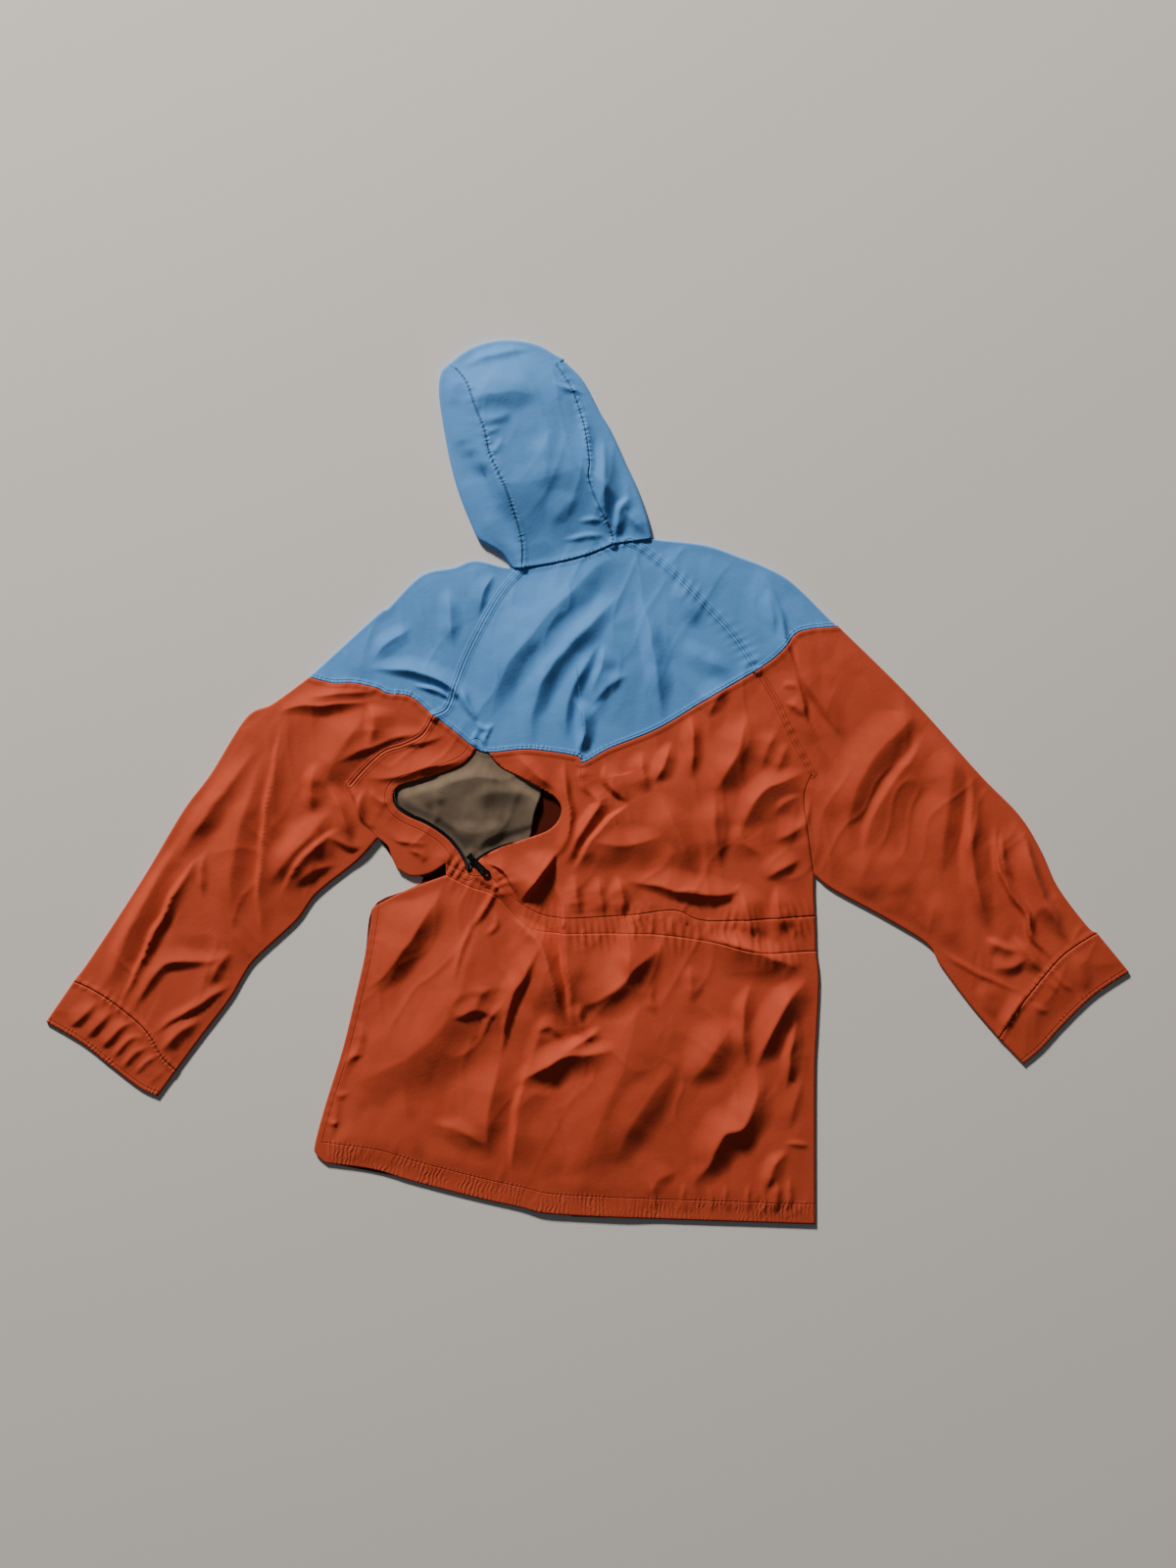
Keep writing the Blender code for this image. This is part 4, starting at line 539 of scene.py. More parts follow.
# ---- zip tapes: how far each shows beside the opening's edge, in mm, at shares of its run from the yoke ----
TAPE_SHOWN = {
    "left": ((0.0, -2.5), (0.38, -2.5), (0.48, 3.0), (0.56, 5.5), (0.7, 4.5), (0.88, 4.5), (0.95, 3.2), (1.0, 0.7)),
    "right": ((0.0, -2.5), (0.66, -2.5), (0.76, 1.2), (0.88, 3.0), (0.95, 3.2), (1.0, 0.7)),
}
LINING_FOLDS = (
    Fold(((418, 810), (445, 801), (490, 794), (535, 800)), 18, 60, 7.5, 0.3),
    Fold(((424, 800), (432, 812), (441, 828)), 8, 12, 3.4, 0.5),
    Fold(((450, 797), (447, 810), (450, 823)), 9, 12, 3.0, 0.5),
    Fold(((474, 818), (505, 809), (545, 812)), 12, 20, 3.0, 0.3),
    Fold(((452, 838), (480, 850), (520, 842)), 14, 16, 3.0, 0.3),
)

# ---- outlines: where the garment's edge is a fold of cloth, and where it is a seam ----
FOLDED_EDGES = (
    "shoulder_left", "shoulder_right", "sleeve_outer_left", "sleeve_outer_right",
    "cuff_outer_left", "cuff_outer_right",
)
HOOD_EDGES = ("hood_edge_left", "hood_edge_right", "crown")
SEWN_EDGES = (
    "inseam_left", "inseam_right", "lobe_left", "lobe_hem", "skirt_shoulder", "skirt_left",
    "skirt_right", "hem", "side_right_upper", "cuff_inner_left", "cuff_inner_right",
    "cuff_hem_left", "cuff_hem_right", "casing_right",
)
NECK_EDGES = ("neck_corner_left", "neck_centre", "neck_right", "neck_corner_right")

# ---- sewn seams with topstitching: the seam, how far from it the thread's line runs, in mm, or 0 for
# a row on both sides, whether the thread gathers the cloth, and the piece that is left plain ----
Stitched = namedtuple("Stitched", "seam line gathered plain", defaults=(True, None))
STITCHED = (
    Stitched("raglan_left", 0, False),
    Stitched("raglan_right", 0, False),
    Stitched("yoke_hem", 0, True, "back_bodice_cloth"),
    Stitched("armhole_left", 0, False),
    Stitched("armhole_right", 0, False),
    Stitched("cap_hem_left", 0, True, "sleeve_left_cloth"),
    Stitched("cap_hem_right", 0, True, "sleeve_right_cloth"),
    Stitched("hood_seam_left", 0.5),
    Stitched("hood_seam_right", 0.5),
    Stitched("neck_centre", 0.5),
    Stitched("neck_right", 0.5),
    Stitched("cuff_seam_left", 0.5),
    Stitched("cuff_seam_right", 0.5),
    Stitched("hem", 24),
    Stitched("mouth_left", 9, False),
    Stitched("skirt_left", 8, False),
    Stitched("cuff_hem_left", 5),
    Stitched("cuff_hem_right", 5),
)


# ---- plan geometry ----
def on_table(points):
    """Plan points as an array of table places in metres, y turned to point up the garment."""
    grid = np.asarray(points, dtype=float).reshape(-1, 2)
    return np.column_stack((grid[:, 0] - PLAN_CENTRE[0], PLAN_CENTRE[1] - grid[:, 1])) * PLAN_UNIT


def smooth_path(points, extra=8):
    """A Catmull-Rom curve through the points, as a fine polyline."""
    ring = np.asarray(points, dtype=float)
    if len(ring) < 3:
        return ring
    padded = np.vstack((2 * ring[0] - ring[1], ring, 2 * ring[-1] - ring[-2]))
    fine = [ring[:1]]
    t = (np.arange(1, extra + 1) / extra)[:, None]
    for a, b, c, d in zip(padded, padded[1:], padded[2:], padded[3:]):
        fine.append(0.5 * (2 * b + (c - a) * t + (2 * a - 5 * b + 4 * c - d) * t**2 + (3 * b - a - 3 * c + d) * t**3))
    return np.vstack(fine)


def arc_lengths(line):
    """Length run along the polyline at each of its points."""
    return np.concatenate(([0.0], np.cumsum(np.linalg.norm(np.diff(line, axis=0), axis=1))))


def evenly(line, steps):
    """The polyline divided into steps of equal length."""
    lengths = arc_lengths(line)
    marks = np.linspace(0.0, lengths[-1], steps + 1)
    return np.column_stack([np.interp(marks, lengths, line[:, axis]) for axis in range(line.shape[1])])


def seam(name):
    """The named seam as a smooth line on the table."""
    return smooth_path(on_table(SEAMS[name]))


def chain(*runs):
    """Seams end to end as one line."""
    return np.vstack([runs[0]] + [run[1:] for run in runs[1:]])


def steps_for(*lines):
    """How many cloth steps the longest of the lines takes."""
    return max(2, int(round(max(arc_lengths(line)[-1] for line in lines) / CLOTH_STEP)))


def patch(near, far, start, end):
    """Coons patch: rows run along near and far, columns along start and end."""
    a = np.linspace(0.0, 1.0, len(start))[None, :, None]
    b = np.linspace(0.0, 1.0, len(near))[:, None, None]
    across = (1 - a) * near[:, None] + a * far[:, None]
    along = (1 - b) * start[None] + b * end[None]
    corners = (1 - b) * ((1 - a) * near[0] + a * far[0]) + b * ((1 - a) * near[-1] + a * far[-1])
    return across + along - corners


def normals_of(line, towards):
    """Unit normals of a line, pointing to the side on which towards lies."""
    tangent = np.gradient(line, axis=0)
    normal = np.column_stack((-tangent[:, 1], tangent[:, 0]))
    normal /= np.linalg.norm(normal, axis=1)[:, None] + 1e-12
    return normal * np.sign(np.sum(normal * towards))


def set_back(grid, sides, distance=SEAM_GAP / 2):
    """Moves the named edges of a grid of places inwards, by half the seam gap unless told otherwise."""
    moved = grid.copy()
    edges = {
        "start": (grid[0], grid[1] - grid[0], (0, slice(None))),
        "end": (grid[-1], grid[-2] - grid[-1], (-1, slice(None))),
        "near": (grid[:, 0], grid[:, 1] - grid[:, 0], (slice(None), 0)),
        "far": (grid[:, -1], grid[:, -2] - grid[:, -1], (slice(None), -1)),
    }
    for side in sides:
        line, inward, place = edges[side]
        moved[place] += normals_of(line, inward) * distance
    return moved


def distance_to(line, places):
    """Distance from each place to the line, the length run along it there, and the side it is on."""
    best = np.full(len(places), 1e9)
    run = np.zeros(len(places))
    side = np.zeros(len(places))
    start_run = arc_lengths(line)
    for index in range(len(line) - 1):
        start, end = line[index], line[index + 1]
        length = start_run[index + 1] - start_run[index]
        if length < 1e-9:
            continue
        along = (end - start) / length
        reach = np.clip((places - start) @ along, 0.0, length)
        off = places - (start + reach[:, None] * along)
        distance = np.sqrt(off[:, 0] ** 2 + off[:, 1] ** 2)
        nearer = distance < best
        best[nearer] = distance[nearer]
        run[nearer] = start_run[index] + reach[nearer]
        side[nearer] = np.sign(along[0] * off[nearer, 1] - along[1] * off[nearer, 0])
    return best, run, side


def near_line(line, places, reach):
    """Which places lie in the line's box, widened by reach."""
    low = line.min(axis=0) - reach
    high = line.max(axis=0) + reach
    return np.flatnonzero(np.all((places > low) & (places < high), axis=1))


def ease(t):
    """From 0 to 1 as t does, with soft ends."""
    t = np.clip(t, 0.0, 1.0)
    return t * t * (3 - 2 * t)


def uneven(places, wavelength, seed):
    """Smooth noise from -1 to 1 over the table, the same each run: each corner of a lattice draws its lot."""
    grid = places / wavelength + seed * 7.31
    cell = np.floor(grid)
    part = ease(grid - cell)
    total = 0.0
    for i in (0, 1):
        for j in (0, 1):
            lot = np.sin((cell[:, 0] + i) * 127.1 + (cell[:, 1] + j) * 311.7 + seed * 74.7) * LOT_SPREAD
            share = (part[:, 0] if i else 1 - part[:, 0]) * (part[:, 1] if j else 1 - part[:, 1])
            total = total + share * (lot - np.floor(lot))
    return 2 * total - 1


# ---- height of the upper cloth ----
def fold_profile(share, crisp):
    """Cross-section of a fold from its crest, 1, to its foot, 0."""
    t = np.clip(share, 0.0, 1.0)
    return (1 - crisp) * (1 - ease(t)) + crisp * (1 - t) ** 1.9


def strengthened(fold):
    """The fold as it is built: narrow crests with a wider first flank, and the other crests higher."""
    before, height = fold.before, fold.height_mm
    if fold.after <= NARROW_FLANK and before > SHARP_FLANK and 0 < height < TALL_CREST:
        before = max(before, round(FLANK_RATIO * fold.after))
    elif height >= HIGH_CREST:
        height *= HIGH_GAIN
    if LOW_CREST <= height < HIGH_CREST:
        height *= LOW_GAIN
    return fold._replace(before=before, height_mm=round(height, 1))


def add_folds(height, places, table, fade):
    """Adds each fold of the table to the height. fade is 0 at the garment's edge and 1 further in."""
    # the folds' edges waver by up to 1.6 mm
    waver = np.column_stack((uneven(places, 0.021, 11), uneven(places, 0.021, 13))) * 0.0016
    for fold in table:
        line = smooth_path(on_table(fold.path), 5)
        widest = max(fold.before, fold.after) * PLAN_UNIT
        found = near_line(line, places, widest)
        if not len(found):
            continue
        near = places[found]
        distance, run, side = distance_to(line, near + waver[found])
        chord = line[-1] - line[0]
        left_or_up = np.array((-1.0, 0.0)) if abs(chord[1]) > abs(chord[0]) else np.array((0.0, 1.0))
        before_sign = np.sign(chord[0] * left_or_up[1] - chord[1] * left_or_up[0])
        share = run / arc_lengths(line)[-1]
        taper = ease(np.minimum(share, 1 - share) * 2.4 + 0.08)
        widths = np.where(side == before_sign, fold.before, fold.after) * PLAN_UNIT * (0.5 + 0.5 * taper)
        height[found] += fold.height_mm / 1000 * fold_profile(distance / widths, fold.crisp) * taper * fade[found]
    return height


def edge_distance(names, places):
    """Distance from each place to the nearest of the named seams."""
    return np.min([distance_to(evenly(seam(name), 14), places)[0] for name in names], axis=0)


def overlap_lift(places):
    """How far the overlap of the fronts lifts what lies on it."""
    centre = on_table((OVERLAP_CENTRE,))[0, 0]
    off_centre = np.abs(places[:, 0] - centre) / PLAN_UNIT - FRONT_OVERLAP
    return (CLOTH + LAYER_GAP) * ease(1.6 - off_centre / 40)


def floor_height(places, rim):
    """Lowest the upper cloth's outer face may lie: clear of the fronts, their overlap and the pocket lining."""
    flattest = 2 * CLOTH + LAYER_GAP + FLOOR_MARGIN
    lowest = np.minimum(CLOTH + LAYER_GAP + CLOTH * 1.5, flattest + rim * FLOOR_SLOPE)
    lowest += overlap_lift(places)
    mouth = on_table((MOUTH_CENTRE,))[0]
    reach = np.abs(places - mouth) / PLAN_UNIT / np.array(LINING_HALF)
    lowest += LINING_ROOM * ease((1.35 - np.linalg.norm(reach, axis=1)) * 4)
    return lowest


def base_height(places, hood):
    """Outer height of the laid cloth before its folds."""
    if hood:
        rise = ease(edge_distance(HOOD_EDGES, places) / HOOD_RISE)
        level = 2 * HOOD_EDGE_RADIUS + (HOOD_LEVEL - 2 * HOOD_EDGE_RADIUS) * rise
        neck = ease(edge_distance(NECK_EDGES, places) / NECK_RISE)
        return np.minimum(level, BODY_LEVEL + 0.001 + (HOOD_LEVEL - BODY_LEVEL) * neck)
    rise = ease(edge_distance(FOLDED_EDGES, places) / EDGE_RISE)
    folded = 2 * EDGE_RADIUS + (BODY_LEVEL - 2 * EDGE_RADIUS) * rise
    low = 2 * CLOTH + LAYER_GAP + FLOOR_MARGIN
    sewn = low + (BODY_LEVEL - low) * ease(edge_distance(SEWN_EDGES, places) / EDGE_RISE)
    return np.minimum(folded, sewn)


def cloth_height(places, hood=False):
    """Outer height of the finished upper cloth over each place, its folds, creases and puckers included."""
    rim = edge_distance(HOOD_EDGES if hood else FOLDED_EDGES + SEWN_EDGES, places)
    height = base_height(places, hood)
    built = [strengthened(fold) for fold in FOLDS]
    height = add_folds(height, places, built, ease(rim / RIM_FADE))
    height += crumple(places) * ease(rim / CRUMPLE_FADE)
    # the greater of the height and its floor, with a soft change from one to the other
    floor = floor_height(places, rim)
    above = height - floor
    height = floor + 0.5 * (above + np.sqrt(above**2 + FLOOR_BLEND**2))
    height += seam_relief(places)
    return height if hood else under_slider(places, height)


def under_slider(places, height):
    """The cloth held level under the slider, and up to the pull that lies on it."""
    start = on_table((SLIDER_PLACE,))[0]
    end = start + (TAB_LENGTH + TAB_RING) * np.array((math.cos(TAB_ANGLE), math.sin(TAB_ANGLE)))
    line = np.vstack((start, end))
    near = near_line(line, places, 2 * HELD_REACH)
    distance, run, _ = distance_to(line, places[near])
    rest = SLIDER_SEAT - 2 * LAYER_GAP + (SLIDER_PLATE + TAB_GAP) * ease((run - 0.008) / 0.006)
    held = ease((HELD_REACH - distance) / HELD_FADE)
    height[near] = height[near] * (1 - held) + rest * held
    return height


def crumple(places):
    """Slight uneven waves and flats of used, unpressed cloth."""
    warp = np.column_stack((uneven(places, 0.050, 3), uneven(places, 0.050, 5))) * 0.014
    shifted = places + warp
    broad = uneven(shifted, 0.062, 1) * 0.0009
    flats = (0.5 - facets(shifted)) * 0.0012
    fine = uneven(shifted, 0.014, 9) * 0.00012
    return broad + flats + (creases(shifted) - 0.3) * 0.0010 + fine


def creases(places):
    """Fine, long and narrow creases, 0 to about 1, in patches, running two ways a little off the length."""
    total = 0.0
    for degrees, seed in ((62, 21), (102, 27)):
        turn = math.radians(degrees)
        along = places @ np.array(((math.cos(turn), -math.sin(turn)), (math.sin(turn), math.cos(turn))))
        sharp = (1 - np.abs(uneven(along, np.array((0.090, 0.030)), seed))) ** 4
        total = total + sharp * ease(uneven(places, 0.12, seed + 2) * 0.9 + 0.5)
    return total


def facets(places):
    """0 to 1: distance to the nearest of scattered points, so that flats meet in slight ridges."""
    grid = places / (0.030, 0.046)
    cell = np.floor(grid)
    nearest = np.full(len(places), 9.0)
    for i in (-1, 0, 1):
        for j in (-1, 0, 1):
            column, row = cell[:, 0] + i, cell[:, 1] + j
            lots = [np.sin(column * a + row * b) * LOT_SPREAD for a, b in ((127.1, 311.7), (269.5, 183.3))]
            spot = np.column_stack([lot - np.floor(lot) for lot in lots]) + np.column_stack((column, row))
            nearest = np.minimum(nearest, np.linalg.norm(grid - spot, axis=1))
    return np.minimum(nearest, 1.0)


def seam_relief(places):
    """The raised turnings under each topstitched seam, and the puckers that its thread pulls."""
    height = np.zeros(len(places))
    for index, row in enumerate(PUCKERS):
        line = evenly(seam(row.seam), SEAM_STEPS)
        found = near_line(line, places, (row.reach + 8) * 1.6 / 1000)
        if not len(found):
            continue
        distance, run, side = distance_to(line, places[found])
        # slant, spacing, strength and reach all stray along the seam, so that no two puckers match
        along = np.column_stack((run, np.full(len(run), 0.1 * index)))
        slant = distance * side * 0.5 * uneven(along, 0.05, index + 40)
        shifted = run + slant + 0.55 * row.pitch / 1000 * uneven(along, row.pitch * 0.0024, index)
        wave = 0.5 + 0.5 * np.sin(2000 * math.pi * shifted / row.pitch)
        strength = ease(0.5 + 0.75 * uneven(along, row.pitch * 0.0037, index + 20)) * row.height / 1000
        if row.full:
            strength *= np.interp(run / arc_lengths(line)[-1], np.linspace(0, 1, len(row.full)), row.full)
        reach = row.reach * (0.8 + 0.5 * uneven(along, row.pitch * 0.0019, index + 60))
        off = distance * 1000 - row.line
        height[found] += strength * wave**1.4 * np.exp(-((off / reach) ** 2))
        if row.band:
            height[found] += row.band / 1000 * (1 - ease((distance * 1000 - 4.2) / 1.6))
    return height


# ---- cloth pieces ----
def piece_from(name, points, faces, material):
    """A mesh object at the origin, smooth shaded."""
    mesh = bpy.data.meshes.new(name)
    mesh.vertices.add(len(points))
    mesh.vertices.foreach_set("co", np.asarray(points, dtype=np.float32).ravel())
    faces = np.asarray(faces, dtype=np.int32)
    mesh.loops.add(faces.size)
    mesh.loops.foreach_set("vertex_index", faces.ravel())
    mesh.polygons.add(len(faces))
    mesh.polygons.foreach_set("loop_start", np.arange(0, faces.size, faces.shape[1], dtype=np.int32))
    mesh.polygons.foreach_set("use_smooth", np.ones(len(faces), dtype=bool))
    mesh.update(calc_edges=True)
    mesh.validate()
    mesh.materials.append(material)
    piece = bpy.data.objects.new(name, mesh)
    bpy.context.scene.collection.objects.link(piece)
    return piece


def quads_of(rows, columns):
    """The corners of each square of a grid, row by row."""
    index = np.arange(rows * columns).reshape(rows, columns)
    corners = (index[:-1, :-1], index[:-1, 1:], index[1:, 1:], index[1:, :-1])
    return np.stack(corners, axis=-1).reshape(-1, 4)


def cloth_wall(name, outer, inner, material, keep=None):
    """Closed wall of cloth between two grids of points. keep says which squares of the grid are cloth."""
    rows, columns = outer.shape[:2]
    quads = quads_of(rows, columns)
    if keep is not None:
        quads = quads[keep]
    a, b, d = (outer.reshape(-1, 3)[quads[:, i]] for i in (0, 1, 3))
    facing = np.cross(b - a, d - a)
    towards = outer.reshape(-1, 3)[quads[:, 0]] - inner.reshape(-1, 3)[quads[:, 0]]
    if np.sum(facing * towards) < 0:
        quads = quads[:, ::-1]
    count = rows * columns
    edges = np.concatenate([quads[:, [i, (i + 1) % 4]] for i in range(4)])
    keys = np.sort(edges, axis=1)
    _, place, uses = np.unique(keys[:, 0] * count + keys[:, 1], return_index=True, return_counts=True)
    rim = edges[place[uses == 1]]
    rim_faces = np.column_stack((rim[:, 1], rim[:, 0], rim[:, 0] + count, rim[:, 1] + count))
    points = np.vstack((outer.reshape(-1, 3), inner.reshape(-1, 3)))
    faces = np.vstack((quads, quads[:, ::-1] + count, rim_faces))
    used = np.unique(faces)
    renumbered = np.full(len(points), -1)
    renumbered[used] = np.arange(len(used))
    piece = piece_from(name, points[used], renumbered[faces], material)
    mark_seams(piece, points[used])
    soften_rim(piece, len(faces) - len(rim_faces))
    return piece


def soften_rim(piece, first_rim_face):
    """The cut edge of the wall is flat shaded, so that it doesn't smear the shading of its faces."""
    flags = np.ones(len(piece.data.polygons), dtype=bool)
    flags[first_rim_face:] = False
    piece.data.polygons.foreach_set("use_smooth", flags)


def mark_seams(piece, points):
    """Two values for the cloth's material: distance from the nearest sewn seam, and the run along it, in mm."""
    places = points[:, :2]
    best = np.full(len(places), 60.0)
    run_mm = np.zeros(len(places))
    for row in STITCHED:
        line = evenly(seam(row.seam), SEAM_STEPS)
        found = near_line(line, places, (abs(row.line) + 16) / 1000)
        if not len(found) or piece.name == row.plain:
            continue
        distance, run, _ = distance_to(line, places[found])
        value = distance * 1000
        if row.line:
            value = np.maximum(value - row.line + THREAD_OFFSET, 1 - THREAD_OFFSET)
        nearer = np.abs(value) < np.abs(best[found])
        best[found[nearer]] = value[nearer]
        run_mm[found[nearer]] = run[nearer] * 1000 * row.gathered
    for label, values in (("from_seam", best), ("along_seam", run_mm)):
        layer = piece.data.attributes.new(label, "FLOAT", "POINT")
        layer.data.foreach_set("value", values.astype(np.float32))


def surface(grid, height):
    """The grid of table places, each lifted to its height."""
    return np.dstack((grid, height.reshape(grid.shape[:2])))


def steepness(grid, height):
    """How much longer the wall is measured upright than across, from the slope at each point."""
    rise_row = np.gradient(height, axis=0) / (np.linalg.norm(np.gradient(grid, axis=0), axis=2) + 1e-9)
    rise_column = np.gradient(height, axis=1) / (np.linalg.norm(np.gradient(grid, axis=1), axis=2) + 1e-9)
    return np.clip(np.sqrt(1 + rise_row**2 + rise_column**2), 1.0, STEEPEST_WALL)


def upper_sheet(name, sides, material, keep=None, lapped=False):
    """One panel of the upper cloth. sides are its near, far, start and end lines.

    A lapped panel runs a little way under its neighbours at its start and end.
    """
    near, far, start, end = sides
    rows = steps_for(near, far)
    columns = steps_for(start, end)
    grid = patch(evenly(near, rows), evenly(far, rows), evenly(start, columns), evenly(end, columns))
    grid = set_back(grid, ("near", "far"))
    grid = set_back(grid, ("start", "end"), -SEAM_LAP if lapped else SEAM_GAP / 2)
    kept = None
    if keep is not None:
        grid, kept = keep(grid)
    height = cloth_height(grid.reshape(-1, 2)).reshape(grid.shape[:2])
    if lapped:
        height[[0, -1]] -= SEAM_LAP / 2
    wall = CLOTH * steepness(grid, height)
    return cloth_wall(name, surface(grid, height), surface(grid, height - wall), material, kept)


def lower_sheet(name, grid, lift, material):
    """One panel of the cloth that rests on the table."""
    grid = set_back(grid, ("start", "end", "near", "far"))
    base = np.broadcast_to(lift, grid.shape[:2])
    return cloth_wall(name, surface(grid, base + CLOTH), surface(grid, base), material)


def shoulder_line(outline, start, end, radius):
    """Where the cloth starts to round over the outline, and the way inwards there."""
    middle = (start[0] + end[0]) / 2 - outline.mean(axis=0)
    inward = normals_of(outline, middle)
    for row, line in ((0, start), (-1, end)):
        along = line[0] - line[-1]
        inward[row] = along / np.linalg.norm(along)
    blend = min(6, len(inward) // 3)
    for row in range(1, blend):
        for index, anchor in ((row, inward[0]), (-1 - row, inward[-1])):
            mixed = anchor * (1 - row / blend) + inward[index] * row / blend
            inward[index] = mixed / np.linalg.norm(mixed)
    return outline + inward * radius, inward


def ended_at(line, shoulder, steps):
    """The line, ended at the shoulder, in even steps."""
    lengths = arc_lengths(line)
    stop = max(lengths[-1] - np.linalg.norm(line[-1] - shoulder), 0.0)
    kept = line[lengths < stop]
    return evenly(np.vstack((kept if len(kept) else line[:1], shoulder)), steps)


def folded_sheet(name, outline, upper, under, radius, material, hood=False):
    """A piece that lies on top, folds over at the outline and runs back underneath."""
    rows = steps_for(outline, upper[0])
    outline = evenly(outline, rows)
    layers = []
    for lines, columns in ((upper, steps_for(upper[1], upper[2])), (under, UNDER_STEPS)):
        near, start, end = lines
        shoulder, inward = shoulder_line(outline, start, end, radius)
        start = ended_at(start, shoulder[0], columns)
        end = ended_at(end, shoulder[-1], columns)
        layers.append(set_back(patch(evenly(near, rows), shoulder, start, end), ("start", "end", "near")))
    top, bottom = layers
    top_height = cloth_height(top.reshape(-1, 2), hood).reshape(top.shape[:2])
    wall = CLOTH * steepness(top, top_height)
    wall[:, -1] = CLOTH
    outer = [surface(top, top_height)]
    inner = [surface(top, top_height - wall)]
    crest = top_height[:, -1]
    for angle in np.linspace(math.pi / 2, -math.pi / 2, FOLD_OVER_STEPS + 2)[1:-1]:
        for shell, across, tall in ((outer, radius, crest / 2), (inner, radius - CLOTH, crest / 2 - CLOTH)):
            place = top[:, -1] - inward * across * math.cos(angle)
            shell.append(np.column_stack((place, crest / 2 + tall * math.sin(angle)))[:, None])
    flat = np.zeros(bottom.shape[:2])
    outer.append(surface(bottom, flat)[:, ::-1])
    inner.append(surface(bottom, flat + CLOTH)[:, ::-1])
    return cloth_wall(name, np.hstack(outer), np.hstack(inner), material)


def make_hood():
    """The three panels of the hood, each folded over the outline to the face opening underneath."""
    left = seam("hood_seam_left")
    right = seam("hood_seam_right")
    corner_left = seam("crown_corner_left")
    corner_right = seam("crown_corner_right")
    face_left = seam("face_corner_left")[::-1]
    face_right = seam("face_corner_right")[::-1]
    upper = {
        "centre": (seam("neck_centre"), chain(left, corner_left), chain(right, corner_right)),
        "left": (left, seam("hood_corner_left"), corner_left),
        "right": (right, chain(seam("neck_right"), seam("neck_corner_right")), corner_right),
    }
    under_left = chain(seam("front_neck_left")[::-1], seam("hood_corner_left"))
    under_right = chain(seam("front_neck_right")[::-1], seam("neck_corner_right"))
    under = {
        "centre": (seam("face_top"), face_left, face_right),
        "left": (seam("face_edge_left"), under_left, face_left),
        "right": (seam("face_edge_right"), under_right, face_right),
    }
    for panel, edge in (("centre", "crown"), ("left", "hood_edge_left"), ("right", "hood_edge_right")):
        sides = (seam(edge), upper[panel], under[panel])
        yield folded_sheet(f"hood_{panel}_cloth", *sides, HOOD_EDGE_RADIUS, BLUE_CLOTH, hood=True)


def make_arm(side):
    """The blue cap, the rust sleeve and the cuff of one side, each closed round the arm."""
    raglan = seam("raglan_" + side)
    neck = seam("neck_corner_" + side)
    cap_hem = seam("cap_hem_" + side)
    cap = (raglan, neck, cap_hem)
    yield folded_sheet(f"sleeve_cap_{side}_cloth", seam("shoulder_" + side), cap, cap, EDGE_RADIUS, BLUE_CLOTH)
    inner = chain(seam("armhole_" + side), seam("underarm_" + side), seam("inseam_" + side))
    cuff_seam = seam("cuff_seam_" + side)
    sleeve = (inner, cap_hem, cuff_seam)
    outer = seam("sleeve_outer_" + side)
    yield folded_sheet(f"sleeve_{side}_cloth", outer, sleeve, sleeve, EDGE_RADIUS, RUST_CLOTH)
    cuff = (seam("cuff_inner_" + side), cuff_seam, seam("cuff_hem_" + side))
    yield folded_sheet(f"cuff_{side}_cloth", seam("cuff_outer_" + side), cuff, cuff, EDGE_RADIUS, RUST_CLOTH)


def make_back():
    """Yoke, bodice with its zip opening, waist casing and skirt."""
    top = chain(seam("neck_centre"), seam("neck_right"))
    yoke = (seam("raglan_left"), seam("raglan_right"), top, seam("yoke_hem"))
    yield upper_sheet("back_yoke_cloth", yoke, BLUE_CLOTH)
    left = chain(seam("armhole_left"), seam("underarm_left"), seam("lobe_left"))
    right = chain(seam("armhole_right"), seam("underarm_right"), seam("side_right_upper"))
    bottom = chain(seam("lobe_hem"), seam("casing_top"))
    yield upper_sheet("back_bodice_cloth", (left, right, seam("yoke_hem"), bottom), RUST_CLOTH, keep=outside_mouth)
    casing = (seam("casing_left"), seam("casing_right"), seam("casing_top"), seam("casing_bottom"))
    yield upper_sheet("waist_casing_cloth", casing, RUST_CLOTH, lapped=True)
    top = chain(seam("skirt_shoulder"), seam("casing_bottom"))
    yield upper_sheet("back_skirt_cloth", (seam("skirt_left"), seam("skirt_right"), top, seam("hem")), RUST_CLOTH)


